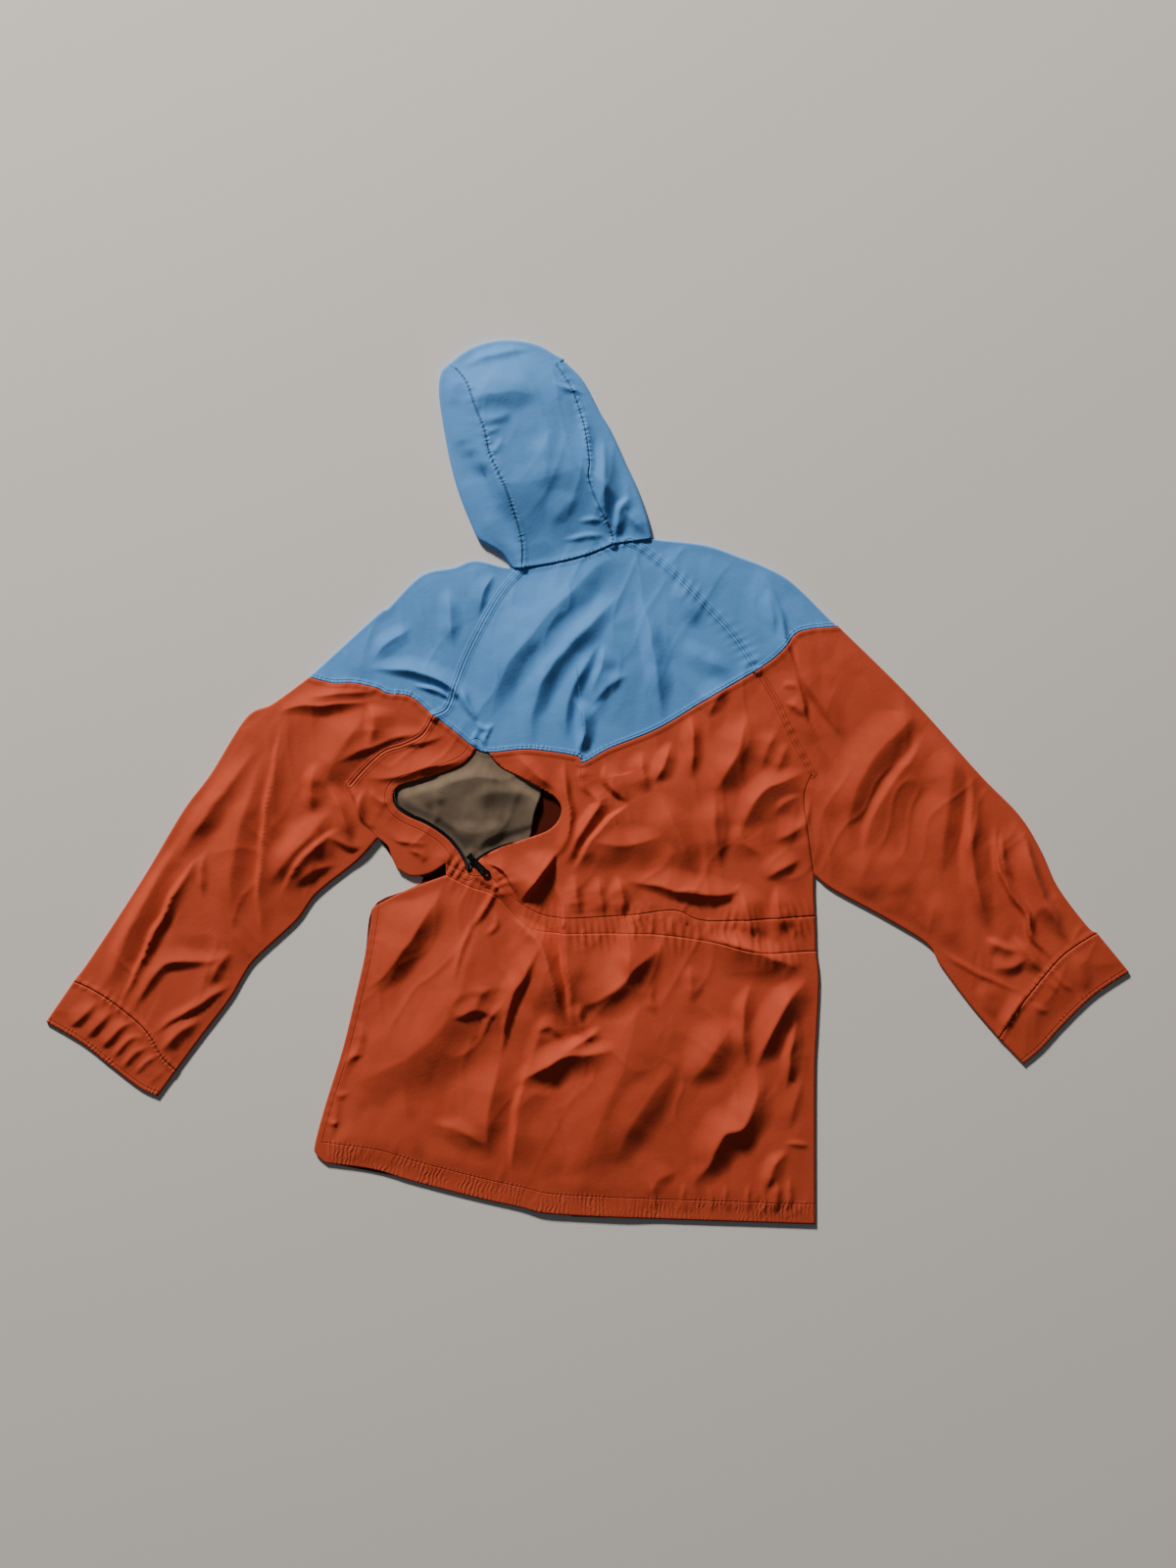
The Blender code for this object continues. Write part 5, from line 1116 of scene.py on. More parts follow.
def make_fronts():
    """The hidden fronts and their yokes. The left side lies flat; the right overlaps it on the inside."""
    overlap = np.array((FRONT_OVERLAP * PLAN_UNIT, 0.0))
    upper = evenly(seam("front_centre_upper"), YOKE_ROWS)
    lower = evenly(seam("front_centre_lower"), FRONT_ROWS)
    widening = ease(np.linspace(0.0, 2.5, YOKE_ROWS + 1))[:, None] * overlap
    hem = slid("front_yoke_hem_left", overlap, False)
    neck = evenly(seam("front_neck_left"), FRONT_COLUMNS)
    grid = patch(evenly(seam("raglan_left"), YOKE_ROWS), upper + widening, neck, hem)
    yield lower_sheet("front_yoke_left_cloth", grid, 0.0, BLUE_CLOTH)
    side = chain(seam("armhole_left"), seam("underarm_left"), seam("front_side_left"))
    bottom = slid("front_hem_left", overlap, False)
    grid = patch(evenly(side, FRONT_ROWS), lower + overlap, hem, bottom)
    yield lower_sheet("front_left_cloth", grid, 0.0, RUST_CLOTH)
    hem = slid("front_yoke_hem_right", -overlap, True)
    neck = evenly(seam("front_neck_right")[::-1], FRONT_COLUMNS)
    grid = patch(upper - widening, evenly(seam("raglan_right"), YOKE_ROWS), neck, hem)
    yield lower_sheet("front_yoke_right_cloth", *overlapping(grid, 2 * widening[:, :1]), BLUE_CLOTH)
    side = chain(seam("armhole_right"), seam("underarm_right"), seam("front_side_right"))
    bottom = slid("front_hem_right", -overlap, True)
    grid = patch(lower - overlap, evenly(side, FRONT_ROWS), hem, bottom)
    yield lower_sheet("front_right_cloth", *overlapping(grid, 2 * overlap[0]), RUST_CLOTH)


def slid(name, shift, from_start):
    """The seam stretched so that one end moves by the shift and the other stays."""
    line = evenly(seam(name), FRONT_COLUMNS)
    share = np.linspace(0.0, 1.0, len(line))[:: -1 if from_start else 1]
    return line + share[:, None] * shift


def overlapping(grid, reach):
    """The grid with columns added beside its first edge, and each column's lift over the other front."""
    first = grid[:, 0]
    along = grid[:, 1] - first
    along /= np.linalg.norm(along, axis=1)[:, None]
    flat_edge = first + along * (reach + OVERLAP_LEDGE)
    ramp_foot = first + along * (reach + OVERLAP_LEDGE + OVERLAP_RAMP)
    added = np.stack((flat_edge, ramp_foot), axis=1)
    beyond = grid[:, 1:]
    start = np.arange(1, beyond.shape[1] + 1) / beyond.shape[1]
    beyond = ramp_foot[:, None] + (beyond[:, -1:] - ramp_foot[:, None]) * start[None, :, None]
    widened = np.concatenate((grid[:, :1], added, beyond), axis=1)
    lift = np.zeros(widened.shape[1])
    lift[:2] = CLOTH + LAYER_GAP
    return widened, lift


def mouth_ring():
    """The edge of the zip opening as a closed line."""
    left = evenly(seam("mouth_left"), SEAM_STEPS)
    right = evenly(seam("mouth_right"), SEAM_STEPS)
    return np.vstack((left, right[::-1], left[:1]))


def inside(ring, places):
    """Which places lie inside the closed line."""
    result = np.zeros(len(places), dtype=bool)
    for (x0, y0), (x1, y1) in zip(ring, ring[1:]):
        if y0 == y1:
            continue
        crosses = (places[:, 1] > y0) != (places[:, 1] > y1)
        result ^= crosses & (places[:, 0] < x0 + (places[:, 1] - y0) * (x1 - x0) / (y1 - y0))
    return result


def outside_mouth(grid):
    """The grid with its points by the zip opening moved onto the opening's edge, and the squares outside it."""
    ring = mouth_ring()
    places = grid.reshape(-1, 2).copy()
    near = near_line(ring, places, 0.01)
    within = np.zeros(len(places), dtype=bool)
    within[near] = inside(ring, places[near])
    quads = quads_of(*grid.shape[:2])
    keep = within[quads].sum(axis=1) < 2
    rim = np.zeros(len(places), dtype=bool)
    rim[np.intersect1d(quads[keep], quads[~keep])] = True
    for index in np.flatnonzero(rim):
        places[index] = nearest_on(ring, places[index])
    return places.reshape(grid.shape), keep


def nearest_on(line, place):
    """The point of the line nearest to the place."""
    start = line[:-1]
    along = line[1:] - start
    share = np.clip(np.sum((place - start) * along, axis=1) / (np.sum(along**2, axis=1) + 1e-18), 0, 1)
    points = start + along * share[:, None]
    return points[np.argmin(np.sum((points - place) ** 2, axis=1))]


def make_lining():
    """The pocket lining that shows through the zip opening. It ends before the opening's right side."""
    middle = on_table((MOUTH_CENTRE,))[0]
    left = middle + (evenly(seam("mouth_left"), LINING_ROWS) - middle) * LINING_MARGIN
    right = evenly(seam("lining_right"), LINING_ROWS)
    start, end = (np.linspace(left[i], right[i], LINING_COLUMNS) for i in (0, -1))
    grid = patch(left, right, start, end)
    places = grid.reshape(-1, 2)
    ring = mouth_ring()
    edge = distance_to(ring, places)[0] * inside(ring, places)
    creased = add_folds(np.zeros(len(places)), places, LINING_FOLDS, np.ones(len(places)))
    creased += (crumple(places) + 0.0004) * 0.6
    cover = cloth_height(places)
    beside_tape = 1 - ease((places[:, 1] + 0.002) / 0.012)
    clear = ease((edge - TAPE_REACH * beside_tape) / (0.0015 + 0.009 * beside_tape))
    under_tape = cover - CLOTH * 2.9 - TAPE_CLOTH - LAYER_GAP
    under_cloth = cover - CLOTH * 2.1
    lift = np.maximum(under_tape + (under_cloth - under_tape) * clear, CLOTH + LAYER_GAP + overlap_lift(places))
    lift += LINING_SWELL * ease(edge / 0.02)
    lift += np.maximum(creased, 0.0) * ease((edge - 0.002) / 0.014)
    return lower_sheet("pocket_lining_cloth", grid, lift.reshape(grid.shape[:2]), LINING_CLOTH)


def paint_shade_on_inner_face(piece):
    """The upper face of a piece that lies inside out, the wrong side of its cloth, in a dark rust that is painted
    shade.
    """
    piece.data.materials.append(PAINTED_SHADE_INNER_FACE)
    up = np.zeros(len(piece.data.polygons) * 3, dtype=np.float32)
    piece.data.polygons.foreach_get("normal", up)
    piece.data.polygons.foreach_set("material_index", (up.reshape(-1, 3)[:, 2] > 0.5).astype(np.int32))
    piece.data.update()


# ---- the zip: tapes, coils, slider and pull ----
def make_tape(side):
    """One woven tape. It shows as far as the table says and runs on under the cloth."""
    line = evenly(seam("mouth_" + side), TAPE_ROWS)
    inward = normals_of(line, on_table((MOUTH_CENTRE,))[0] - line)
    share = np.linspace(0, 1, len(line))
    shown = np.interp(share, *zip(*TAPE_SHOWN[side])) / 1000
    across = np.linspace(0, 1, TAPE_COLUMNS + 1)
    offset = shown[:, None] - TAPE_WIDTH * (1 - across)
    grid = line[:, None] + inward[:, None] * offset[:, :, None]
    level = cloth_height(line) - CLOTH * 1.9
    near_slider = ease((share - TAPE_RISE_START) / TAPE_RISE_SPAN)
    level = np.maximum(level, TAPE_LEVEL) * (1 - near_slider) + (SLIDER_SEAT - LAYER_GAP) * near_slider
    under = cloth_height(grid.reshape(-1, 2)).reshape(offset.shape) - CLOTH * 1.9
    hidden = ease((0.0012 - offset) / 0.001)
    height = np.minimum(level[:, None], under) * hidden + level[:, None] * (1 - hidden)
    tape = cloth_wall(f"zip_tape_{side}_woven", surface(grid, height), surface(grid, height - TAPE_CLOTH), ZIP_TAPE)
    return tape, grid[:, -1], height[:, -1], inward


def coil_tooth():
    """One loop of the coil, modelled once: a small block with narrowed ends, lying across the tape's edge."""
    block = start_block("coil_tooth", (COIL_WIDTH, COIL_PITCH * TOOTH_SHARE, COIL_HEIGHT), (0, 0, 0))
    bpy.ops.mesh.bisect(plane_co=(0, 0, 0), plane_no=(1, 0, 0))
    bpy.ops.object.mode_set(mode="EDIT")
    pick(block, lambda face: abs(face.normal.x) > 0.9)
    bpy.ops.transform.resize(value=(1, TOOTH_END, TOOTH_END), orient_type="GLOBAL")
    bpy.ops.object.mode_set(mode="OBJECT")
    points = np.array([vertex.co[:] for vertex in block.data.vertices])
    faces = np.array([face.vertices[:] for face in block.data.polygons])
    bpy.data.objects.remove(block)
    return points, faces


def make_coil(side, edge, height, inward, points, faces):
    """The coil sewn along the tape's inner edge, a row of the same loop."""
    lengths = arc_lengths(edge)
    runs = np.arange(COIL_PITCH, lengths[-1] - 0.004, COIL_PITCH)
    place = np.column_stack([np.interp(runs, lengths, edge[:, i]) for i in (0, 1)])
    across = np.column_stack([np.interp(runs, lengths, inward[:, i]) for i in (0, 1)])
    across /= np.linalg.norm(across, axis=1)[:, None]
    level = np.interp(runs, lengths, height)
    along = np.column_stack((-across[:, 1], across[:, 0]))
    flat = (
        place[:, None]
        + across[:, None] * (points[None, :, :1] - COIL_WIDTH * 0.15)
        + along[:, None] * points[None, :, 1:2]
    )
    tall = level[:, None] + points[None, :, 2] + COIL_HEIGHT * 0.35
    cloud = np.concatenate((flat, tall[:, :, None]), axis=2).reshape(-1, 3)
    steps = np.arange(len(runs))[:, None, None] * len(points)
    return piece_from(f"zip_coil_{side}", cloud, (faces[None] + steps).reshape(-1, 4), COIL_NYLON)


def start_block(name, size, place):
    """A cube brought to size in edit mode, left in edit mode with all of it selected."""
    bpy.ops.object.select_all(action="DESELECT")
    bpy.ops.mesh.primitive_cube_add(size=1.0)
    block = bpy.context.object
    block.name = block.data.name = name
    bpy.ops.object.mode_set(mode="EDIT")
    bpy.ops.mesh.select_all(action="SELECT")
    bpy.ops.transform.resize(value=size)
    bpy.ops.transform.translate(value=place)
    return block


def pick(block, wanted):
    """Selects the faces of the block, in edit mode, that the test wants."""
    bpy.ops.mesh.select_mode(type="FACE")
    bpy.ops.mesh.select_all(action="DESELECT")
    shape = bmesh.from_edit_mesh(block.data)
    for face in shape.faces:
        face.select = bool(wanted(face))
    shape.select_flush_mode()
    bmesh.update_edit_mesh(block.data)


def round_edges(block, width, steps=2):
    """Rounds the block's sharp edges by a bevel and applies it."""
    bpy.ops.object.mode_set(mode="OBJECT")
    bevel = block.modifiers.new("rounding", "BEVEL")
    bevel.width = width
    bevel.segments = steps
    bevel.limit_method = "ANGLE"
    bevel.angle_limit = math.radians(40)
    bpy.ops.object.modifier_apply(modifier=bevel.name)


def cut_or_join(block, tool, operation):
    """Cuts the tool from the block, or joins it to it, and clears the tool away."""
    bpy.ops.object.mode_set(mode="OBJECT")
    modifier = block.modifiers.new("shape", "BOOLEAN")
    modifier.object = tool
    modifier.operation = operation
    modifier.solver = "EXACT"
    bpy.context.view_layer.objects.active = block
    bpy.ops.object.modifier_apply(modifier=modifier.name)
    bpy.data.objects.remove(tool)


def round_bar(name, radius, depth, place, sides):
    """An upright round bar, left in edit mode."""
    bpy.ops.object.mode_set(mode="OBJECT")
    bpy.ops.object.select_all(action="DESELECT")
    bpy.ops.mesh.primitive_cylinder_add(vertices=sides, radius=radius, depth=depth)
    bar = bpy.context.object
    bar.name = name
    bpy.ops.object.mode_set(mode="EDIT")
    bpy.ops.mesh.select_all(action="SELECT")
    bpy.ops.transform.translate(value=place)
    return bar


def settle(piece, place, material):
    """Turns the piece to the zip's way, puts it in place and leaves its origin at the table's."""
    bpy.ops.object.mode_set(mode="OBJECT")
    bpy.ops.object.select_all(action="DESELECT")
    piece.select_set(True)
    bpy.context.view_layer.objects.active = piece
    piece.rotation_euler = (0, 0, TAB_ANGLE)
    piece.location = place
    bpy.ops.object.transform_apply(location=True, rotation=True, scale=True)
    bpy.ops.object.shade_smooth_by_angle(angle=math.radians(35))
    piece.data.materials.clear()
    piece.data.materials.append(material)
    return piece


def make_slider():
    """The slider: a crowned plate with rounded corners, its lower plate and post, and the bridge over it."""
    slider = start_block("zip_slider_cast", (SLIDER_LENGTH, SLIDER_WIDTH, SLIDER_PLATE), (0, 0, SLIDER_PLATE / 2))
    pick(slider, lambda face: face.normal.x > 0.9)
    bpy.ops.transform.resize(value=(1, NARROW_END, 1), orient_type="GLOBAL")
    pick(slider, lambda face: face.normal.z > 0.9)
    bpy.ops.mesh.inset(thickness=PLATE_RIM, depth=0)
    bpy.ops.transform.translate(value=(0, 0, -SLIDER_PLATE * PLATE_SINK))
    round_edges(slider, 0.0003)
    foot_middle = -(2 * LAYER_GAP + CLOTH + SLIDER_FOOT[2] / 2)
    post = round_bar("post", SLIDER_POST, SLIDER_PLATE / 2 - foot_middle, (0, 0, foot_middle / 2), 12)
    cut_or_join(slider, post, "UNION")
    foot = start_block("foot", SLIDER_FOOT, (0, 0, foot_middle))
    round_edges(foot, CAST_ROUNDING)
    cut_or_join(slider, foot, "UNION")
    leg = BRIDGE_SPAN / 2 - BRIDGE_LEG / 2
    top = SLIDER_PLATE + BRIDGE_CLEAR
    bar = start_block("bridge", (BRIDGE_SPAN + BRIDGE_LEG, BRIDGE_BAR, BRIDGE_BAR), (0, 0, top + BRIDGE_BAR / 2))
    for inner_face in (-leg, leg):
        bpy.ops.mesh.select_all(action="SELECT")
        bpy.ops.mesh.bisect(plane_co=(inner_face, 0, 0), plane_no=(1, 0, 0))
    pick(bar, lambda face: face.normal.z < -0.9 and abs(face.calc_center_median().x) > leg)
    bpy.ops.mesh.extrude_region_move(TRANSFORM_OT_translate={"value": (0, 0, -BRIDGE_CLEAR - SLIDER_PLATE * 0.6)})
    round_edges(bar, 0.00025)
    cut_or_join(slider, bar, "UNION")
    x, y = on_table((SLIDER_PLACE,))[0]
    return settle(slider, (x, y, SLIDER_SEAT), ZINC)


def make_pull():
    """The pull: a flat tab, sunk in its middle, with a window round the bridge and a ring at its end."""
    rise = TAB_THICKNESS / 2
    ring_middle = TAB_LENGTH - TAB_RING_OVERHANG
    size = (TAB_LENGTH, TAB_WIDTH, TAB_THICKNESS)
    pull = start_block("pull_tab_cast", size, (TAB_LENGTH / 2 - rise, 0, 0))
    pick(pull, lambda face: face.normal.x < -0.9)
    bpy.ops.transform.resize(value=(1, TAB_NARROW_END, 1), orient_type="GLOBAL")
    pick(pull, lambda face: face.normal.z > 0.9)
    bpy.ops.mesh.inset(thickness=TAB_RIM, depth=0)
    bpy.ops.transform.resize(value=(0.5, 1, 1), orient_type="GLOBAL")
    bpy.ops.transform.translate(value=(0.0015, 0, 0))
    bpy.ops.mesh.extrude_region_move(TRANSFORM_OT_translate={"value": (0, 0, -TAB_SINK)})
    ring = round_bar("ring", TAB_RING, TAB_RING_THICKNESS, (ring_middle, 0, 0), RING_SIDES)
    cut_or_join(pull, ring, "UNION")
    hole = round_bar("hole", TAB_RING_HOLE, TAB_THICKNESS * 3, (ring_middle, 0, 0), HOLE_SIDES)
    cut_or_join(pull, hole, "DIFFERENCE")
    length, width = TAB_WINDOW
    window = start_block("window", (length, width, TAB_THICKNESS * 3), (rise + length / 2, 0, 0))
    cut_or_join(pull, window, "DIFFERENCE")
    bpy.context.view_layer.objects.active = pull
    round_edges(pull, CAST_ROUNDING)
    x, y = on_table((SLIDER_PLACE,))[0]
    return settle(pull, (x, y, SLIDER_SEAT + SLIDER_PLATE + TAB_GAP + rise), ZINC)


# ---- materials ----
def linear(hex_colour):
    """An sRGB hex colour as linear RGBA."""
    channels = (int(hex_colour[i : i + 2], 16) / 255 for i in (1, 3, 5))
    return tuple(c / 12.92 if c <= 0.04045 else ((c + 0.055) / 1.055) ** 2.4 for c in channels) + (1.0,)


def set_inputs(tree, node, inputs):
    """Sets or links each named or numbered input of the node."""
    for name, value in inputs.items():
        if isinstance(value, bpy.types.NodeSocket):
            tree.links.new(value, node.inputs[name])
        else:
            node.inputs[name].default_value = value


def add_node(tree, kind, settings=None, inputs=None):
    """Adds a node, sets its properties and its inputs."""
    node = tree.nodes.new(kind)
    for name, value in (settings or {}).items():
        setattr(node, name, value)
    set_inputs(tree, node, inputs or {})
    return node


def new_material(name):
    material = bpy.data.materials.new(name)
    material.use_nodes = True
    tree = material.node_tree
    return material, tree, tree.nodes["Principled BSDF"]


def place_on_piece(tree):
    return add_node(tree, "ShaderNodeTexCoord").outputs["Object"]


def attribute(tree, name):
    return add_node(tree, "ShaderNodeAttribute", {"attribute_name": name}).outputs["Fac"]


def noise(tree, place, size, detail, roughness=0.5):
    """Noise, 0 to 1, with patches of about the given size in metres."""
    inputs = {"Vector": place, "Scale": 1 / size, "Detail": detail, "Roughness": roughness}
    return add_node(tree, "ShaderNodeTexNoise", inputs=inputs).outputs["Fac"]


def threads(tree, place, direction, scale, **inputs):
    """Parallel threads as waves from 0 to 1."""
    settings = {"wave_type": "BANDS", "bands_direction": direction, "wave_profile": "SIN"}
    return add_node(tree, "ShaderNodeTexWave", settings, {"Vector": place, "Scale": scale, **inputs}).outputs["Fac"]


def maths(tree, operation, *values, clamp=False):
    settings = {"operation": operation, "use_clamp": clamp}
    return add_node(tree, "ShaderNodeMath", settings, dict(enumerate(values))).outputs[0]


def ramp(tree, value, low, high, start=0.0, end=1.0, eased=False):
    """The value's range from low to high brought to start and end, and held beyond them."""
    settings = {"interpolation_type": "SMOOTHSTEP" if eased else "LINEAR"}
    inputs = {"Value": value, "From Min": low, "From Max": high, "To Min": start, "To Max": end}
    return add_node(tree, "ShaderNodeMapRange", settings, inputs).outputs[0]


def blend(tree, share, first, second):
    """From the first colour, at a share of 0, to the second. A colour is sRGB hex or a node's output."""
    colours = [linear(colour) if isinstance(colour, str) else colour for colour in (first, second)]
    inputs = {0: share, 6: colours[0], 7: colours[1]}
    return add_node(tree, "ShaderNodeMix", {"data_type": "RGBA"}, inputs).outputs[2]


def bump(tree, height, strength, distance, **below):
    """A bump of the height, over the Normal below it if that is given."""
    inputs = {"Strength": strength, "Distance": distance, "Height": height, **below}
    return add_node(tree, "ShaderNodeBump", inputs=inputs).outputs[0]


def woven_cloth(name, base, bright, shaded, thread, sheen, roughness):
    """Close-woven cotton and nylon shell cloth, with its topstitching drawn along the seams."""
    material, tree, shader = new_material(name)
    place = place_on_piece(tree)
    # broad, faint shade differences of dyed and washed cloth, 60 mm across
    washed = noise(tree, place, 0.06, 4.0, 0.6)
    coloured = blend(tree, 0.35, base, blend(tree, washed, shaded, bright))
    # threads drawn 1.1 mm apart, because the real 0.3 mm wouldn't show. A scale of 0.314 is one wave a metre
    turned = add_node(tree, "ShaderNodeMapping", inputs={"Vector": place, "Rotation": (0, 0, 0.35)}).outputs[0]
    warp, weft = (
        threads(tree, turned, direction, 0.314 / WEAVE_PITCH, Distortion=0.6, Detail=1.0) for direction in "XY"
    )
    weave_bump = bump(tree, maths(tree, "MULTIPLY", warp, weft), 0.25, 0.0003)
    grain_bump = bump(tree, noise(tree, place, 0.004, 3.0, 0.6), 0.35, 0.0006, Normal=weave_bump)
    # two rows of topstitching, one each side of a seam, each pulled into a groove about 2 mm wide
    distance = maths(tree, "ABSOLUTE", attribute(tree, "from_seam"))
    from_row = maths(tree, "ABSOLUTE", maths(tree, "SUBTRACT", distance, THREAD_OFFSET))
    groove = ramp(tree, from_row, 0.0, 1.0, eased=True)
    # small tight puckers where the thread draws the turnings in; some stretches lie flatter
    along = attribute(tree, "along_seam")
    strayed = maths(tree, "MULTIPLY_ADD", noise(tree, place, 0.011, 1.0), 9.0, along)
    ripple = maths(tree, "SINE", maths(tree, "MULTIPLY", strayed, 2 * math.pi / STITCH_PUCKER))
    tight = ramp(tree, noise(tree, place, 0.025, 1.0), 0.4, 0.62)
    reach = maths(tree, "MULTIPLY", ramp(tree, distance, 3.0, 8.5, 1.0, 0.0, eased=True), tight)
    gathered = maths(tree, "MULTIPLY", along, 1.0, clamp=True)
    pucker = maths(tree, "MULTIPLY", ripple, maths(tree, "MULTIPLY", reach, gathered))
    pucker_bump = bump(tree, pucker, 0.5, 0.0007, Normal=grain_bump)
    groove_bump = bump(tree, groove, 0.7, 0.0007, Normal=pucker_bump)
    # the groove is painted towards the darker thread colour here and there: the thread itself, and painted shade
    shade = maths(tree, "ADD", groove, washed, clamp=True)
    # painted highlight: the puckers' crests are painted paler, towards the bright tone
    wear_and_highlight = maths(tree, "MULTIPLY", pucker, 0.5, clamp=True)
    look = {
        "Base Color": blend(tree, wear_and_highlight, blend(tree, shade, thread, coloured), bright),
        "Normal": groove_bump,
        "Roughness": roughness,
        "Sheen Weight": sheen,
        "Sheen Roughness": 0.4,
        "Specular IOR Level": 0.12,
    }
    set_inputs(tree, shader, look)
    return material


def lining_cloth():
    """Plain woven cotton lining, matt, undyed beige."""
    material, tree, shader = new_material("lining cotton, plain weave")
    place = place_on_piece(tree)
    look = {
        "Base Color": blend(tree, noise(tree, place, 0.03, 5.0), "#2C231A", "#897660"),
        "Normal": bump(tree, noise(tree, place, 0.0015, 2.0), 0.4, 0.0004),
        "Roughness": 0.9,
        "Sheen Weight": 0.15,
    }
    set_inputs(tree, shader, look)
    return material


def zip_tape_cloth():
    """Polyester zip tape, woven in fine slanting ribs, black."""
    material, tree, shader = new_material("zip tape, woven polyester")
    ribs = threads(tree, place_on_piece(tree), "DIAGONAL", 1 / RIB_PITCH / math.pi)
    look = {"Base Color": linear("#0C0C0D"), "Normal": bump(tree, ribs, 0.5, 0.0003), "Roughness": 0.7}
    set_inputs(tree, shader, look)
    return material


def zip_nylon():
    """Coil of black nylon monofilament, slightly glossy."""
    material, tree, shader = new_material("zip coil, nylon")
    rub = noise(tree, place_on_piece(tree), 0.004, 2.0)
    set_inputs(tree, shader, {"Base Color": blend(tree, rub, "#070708", "#1C1C20"), "Roughness": 0.4})
    return material


def enamelled_zinc():
    """Cast zinc zip pull, enamelled black and worn grey in patches."""
    material, tree, shader = new_material("enamelled zinc")
    # grey patches at random: wear only, no highlight on the zinc
    wear_and_highlight = ramp(tree, noise(tree, place_on_piece(tree), 0.003, 4.0), 0.45, 0.75)
    look = {"Base Color": blend(tree, wear_and_highlight, "#121214", "#3A3A3E"), "Metallic": 0.6, "Roughness": 0.35}
    set_inputs(tree, shader, look)
    return material


BLUE_CLOTH = woven_cloth("blue shell cloth", "#5492D6", "#6FAEF2", "#4078B0", "#3A6590", 0.06, 0.68)
RUST_CLOTH = woven_cloth("rust shell cloth", "#B6462D", "#CC5C40", "#98341E", "#8C321C", 0.06, 0.68)
LINING_CLOTH = lining_cloth()
# painted shade: a dark rust for the fronts' upper faces, where they show in the zip opening beside the lining
PAINTED_SHADE_INNER_FACE = woven_cloth(
    "rust shell cloth, coated inner face", "#4A150A", "#5A1D10", "#380E06", "#3A1008", 0.0, 0.8
)
ZIP_TAPE = zip_tape_cloth()
COIL_NYLON = zip_nylon()
ZINC = enamelled_zinc()


# ---- building ----
def finish_piece(piece, body, slot, *nodes):
    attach(piece, body)
    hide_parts(*nodes)
    return piece


NODE_OF = {
    "hood_centre_cloth": "hood_centre",
    "hood_left_cloth": "hood_side_left",
    "hood_right_cloth": "hood_side_right",
}

# ---- cut of each cloth piece: width, length and flat area in metres, and what it lies on ----
FRONTS = ("front_left_cloth", "front_right_cloth")
CUT = {
    "hood_centre_cloth": (0.165, 0.330, 0.036, ("floor",)),
    "hood_left_cloth": (0.170, 0.290, 0.033, ("floor",)),
    "hood_right_cloth": (0.140, 0.290, 0.023, ("floor",)),
    "sleeve_cap_left_cloth": (0.260, 0.360, 0.0435, ("floor",)),
    "sleeve_cap_right_cloth": (0.240, 0.320, 0.030, ("floor",)),
    "sleeve_left_cloth": (0.500, 0.500, 0.168, ("floor",)),
    "sleeve_right_cloth": (0.520, 0.500, 0.176, ("floor",)),
    "cuff_left_cloth": (0.325, 0.062, 0.0185, ("floor",)),
    "cuff_right_cloth": (0.340, 0.062, 0.019, ("floor",)),
    "back_yoke_cloth": (0.385, 0.265, 0.065, ("front_yoke_left_cloth", "front_yoke_right_cloth")),
    "back_bodice_cloth": (0.555, 0.300, 0.095, FRONTS + ("pocket_lining_cloth",)),
    "waist_casing_cloth": (0.462, 0.045, 0.0125, FRONTS),
    "back_skirt_cloth": (0.600, 0.415, 0.195, FRONTS),
    "front_yoke_left_cloth": (0.195, 0.215, 0.025, ("floor",)),
    "front_yoke_right_cloth": (0.232, 0.247, 0.032, ("floor", "front_yoke_left_cloth")),
    "front_left_cloth": (0.345, 0.595, 0.157, ("floor",)),
    "front_right_cloth": (0.305, 0.660, 0.175, ("floor", "front_left_cloth")),
    "pocket_lining_cloth": (0.190, 0.155, 0.0192, FRONTS),
}

built = []
for maker in (make_hood(), make_arm("left"), make_arm("right"), make_back(), make_fronts(), (make_lining(),)):
    built.extend(maker)

for piece in built:
    node = NODE_OF.get(piece.name, piece.name.replace("_cloth", ""))
    material = piece.data.materials[0]
    slot = {BLUE_CLOTH: "blue_cloth", RUST_CLOTH: "rust_cloth", LINING_CLOTH: "lining_cloth"}[material]
    finish_piece(piece, "garment", slot, node)
    width, length, area, below = CUT[piece.name]
    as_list(below)
    # the fronts' upper faces are given the painted shade
    if piece.name in FRONTS:
        paint_shade_on_inner_face(piece)

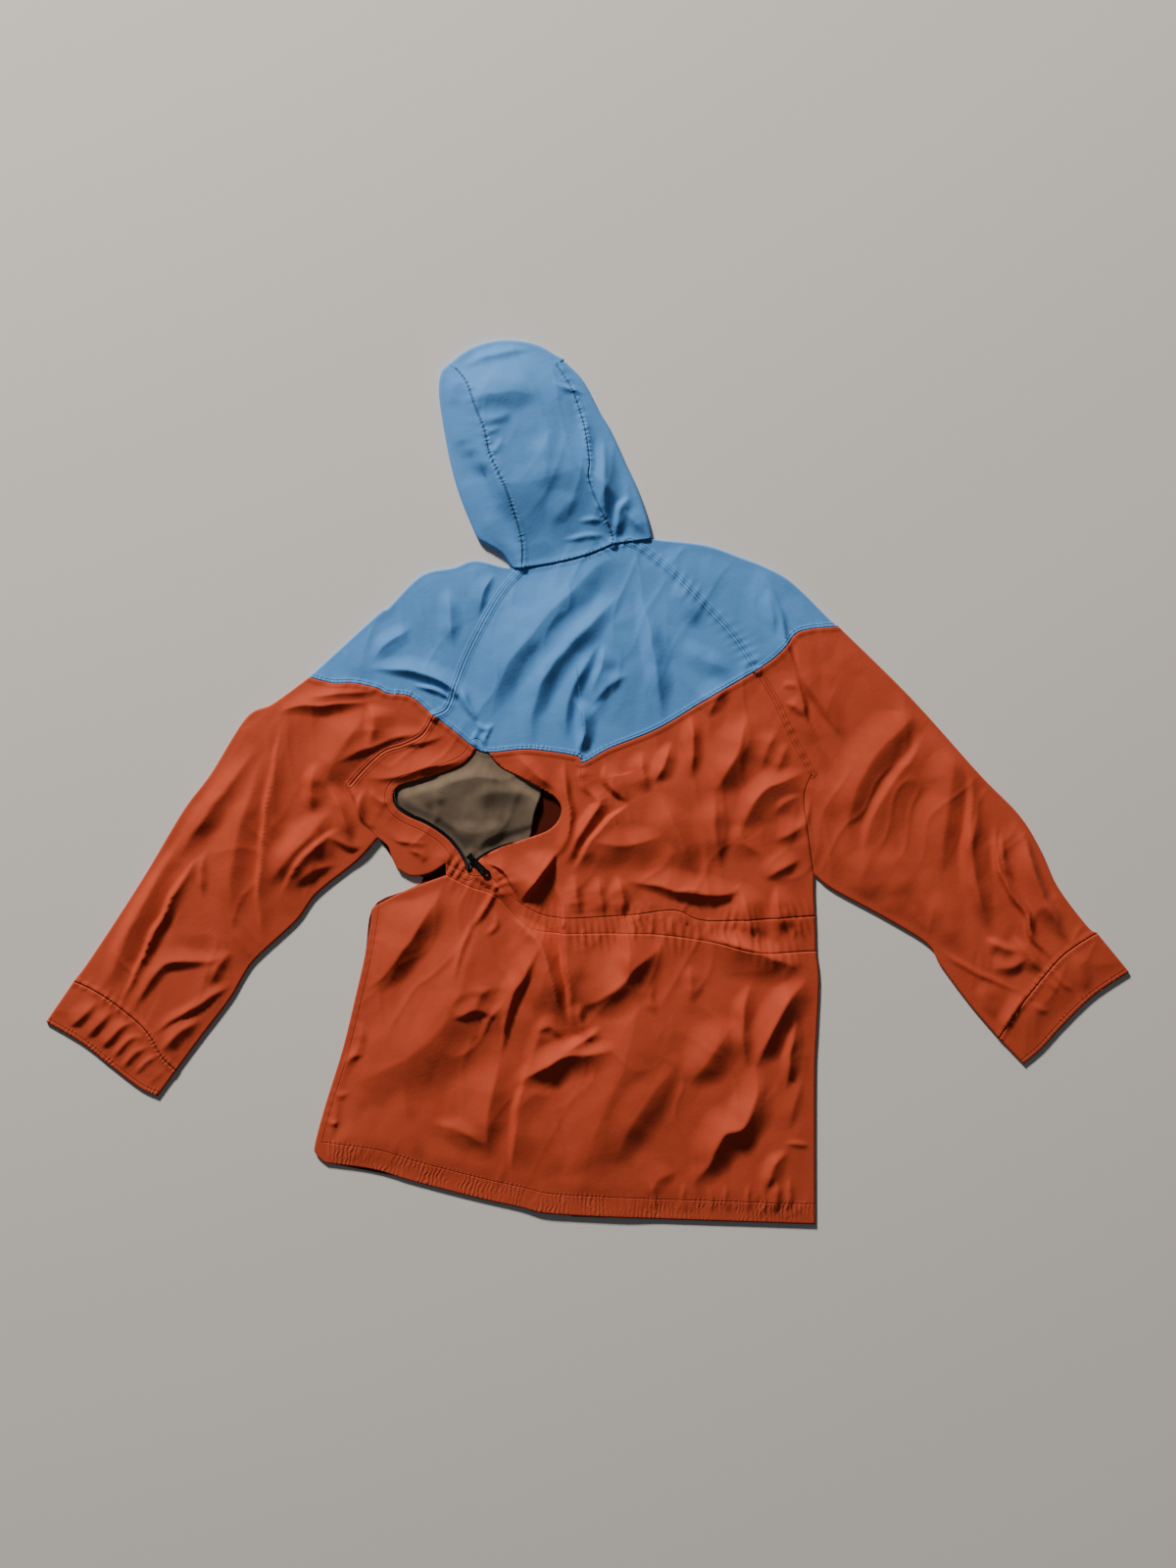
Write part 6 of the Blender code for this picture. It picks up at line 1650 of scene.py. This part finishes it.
tooth = coil_tooth()
for side in ("left", "right"):
    tape, edge, level, inward = make_tape(side)
    finish_piece(tape, "garment", "zip_tape", "zip_tape_" + side)
    coil = make_coil(side, edge, level, inward, *tooth)
    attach(coil, "garment")
finish_piece(make_slider(), "garment", "zip_metal", "zip_slider")
finish_piece(make_pull(), "pull_tab", "zip_metal", "pull_tab")


# ---- floor, light and camera ----
def make_floor():
    material, tree, shader = new_material("matt paper backdrop")
    set_inputs(tree, shader, {"Base Color": linear("#D9D8D6"), "Roughness": 0.95})
    corners = [(x * BACKDROP_HALF, y * BACKDROP_HALF, -0.0002) for x, y in ((-1, -1), (1, -1), (1, 1), (-1, 1))]
    floor = piece_from("floor", corners, [(0, 1, 2, 3)], material)
    floor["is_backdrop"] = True


def add_light(name, place, aim, size, power, colour):
    data = bpy.data.lights.new(name, "AREA")
    data.shape = "SQUARE"
    data.size = size
    data.energy = power
    data.color = linear(colour)[:3]
    lamp = bpy.data.objects.new(name, data)
    lamp.location = place
    lamp.rotation_euler = (Vector(aim) - Vector(place)).to_track_quat("-Z", "Y").to_euler()
    bpy.context.scene.collection.objects.link(lamp)


def add_camera():
    """The photo's view: straight above, with the photo's height filling the frame."""
    data = bpy.data.cameras.new("camera")
    centre = on_table((PHOTO_CENTRE,))[0]
    frame_height = PHOTO_HEIGHT * PLAN_UNIT * CAMERA_HEIGHT / (CAMERA_HEIGHT - LEVEL_IN_VIEW)
    data.lens = SENSOR_MM * CAMERA_HEIGHT / frame_height
    camera = bpy.data.objects.new("camera", data)
    camera.location = (centre[0], centre[1], CAMERA_HEIGHT)
    bpy.context.scene.collection.objects.link(camera)
    bpy.context.scene.camera = camera


make_floor()
add_light("key", (-2.66, 5.72, 3.08), (0, 0, 0), 1.0, 861, "#FFF6EC")
add_light("fill", (0.6, -0.6, 2.6), (0, 0, 0), 1.8, 1.5, "#EEF3FF")
add_camera()
world = bpy.data.worlds.new("studio")
world.use_nodes = True
sky = {"Color": linear("#E8ECF2"), "Strength": 0.07}
set_inputs(world.node_tree, world.node_tree.nodes["Background"], sky)
bpy.context.scene.world = world

bpy.context.view_layer.update()
{"cad": [list(c) for c in CAD_BOX], "visual": [list(c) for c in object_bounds()]}
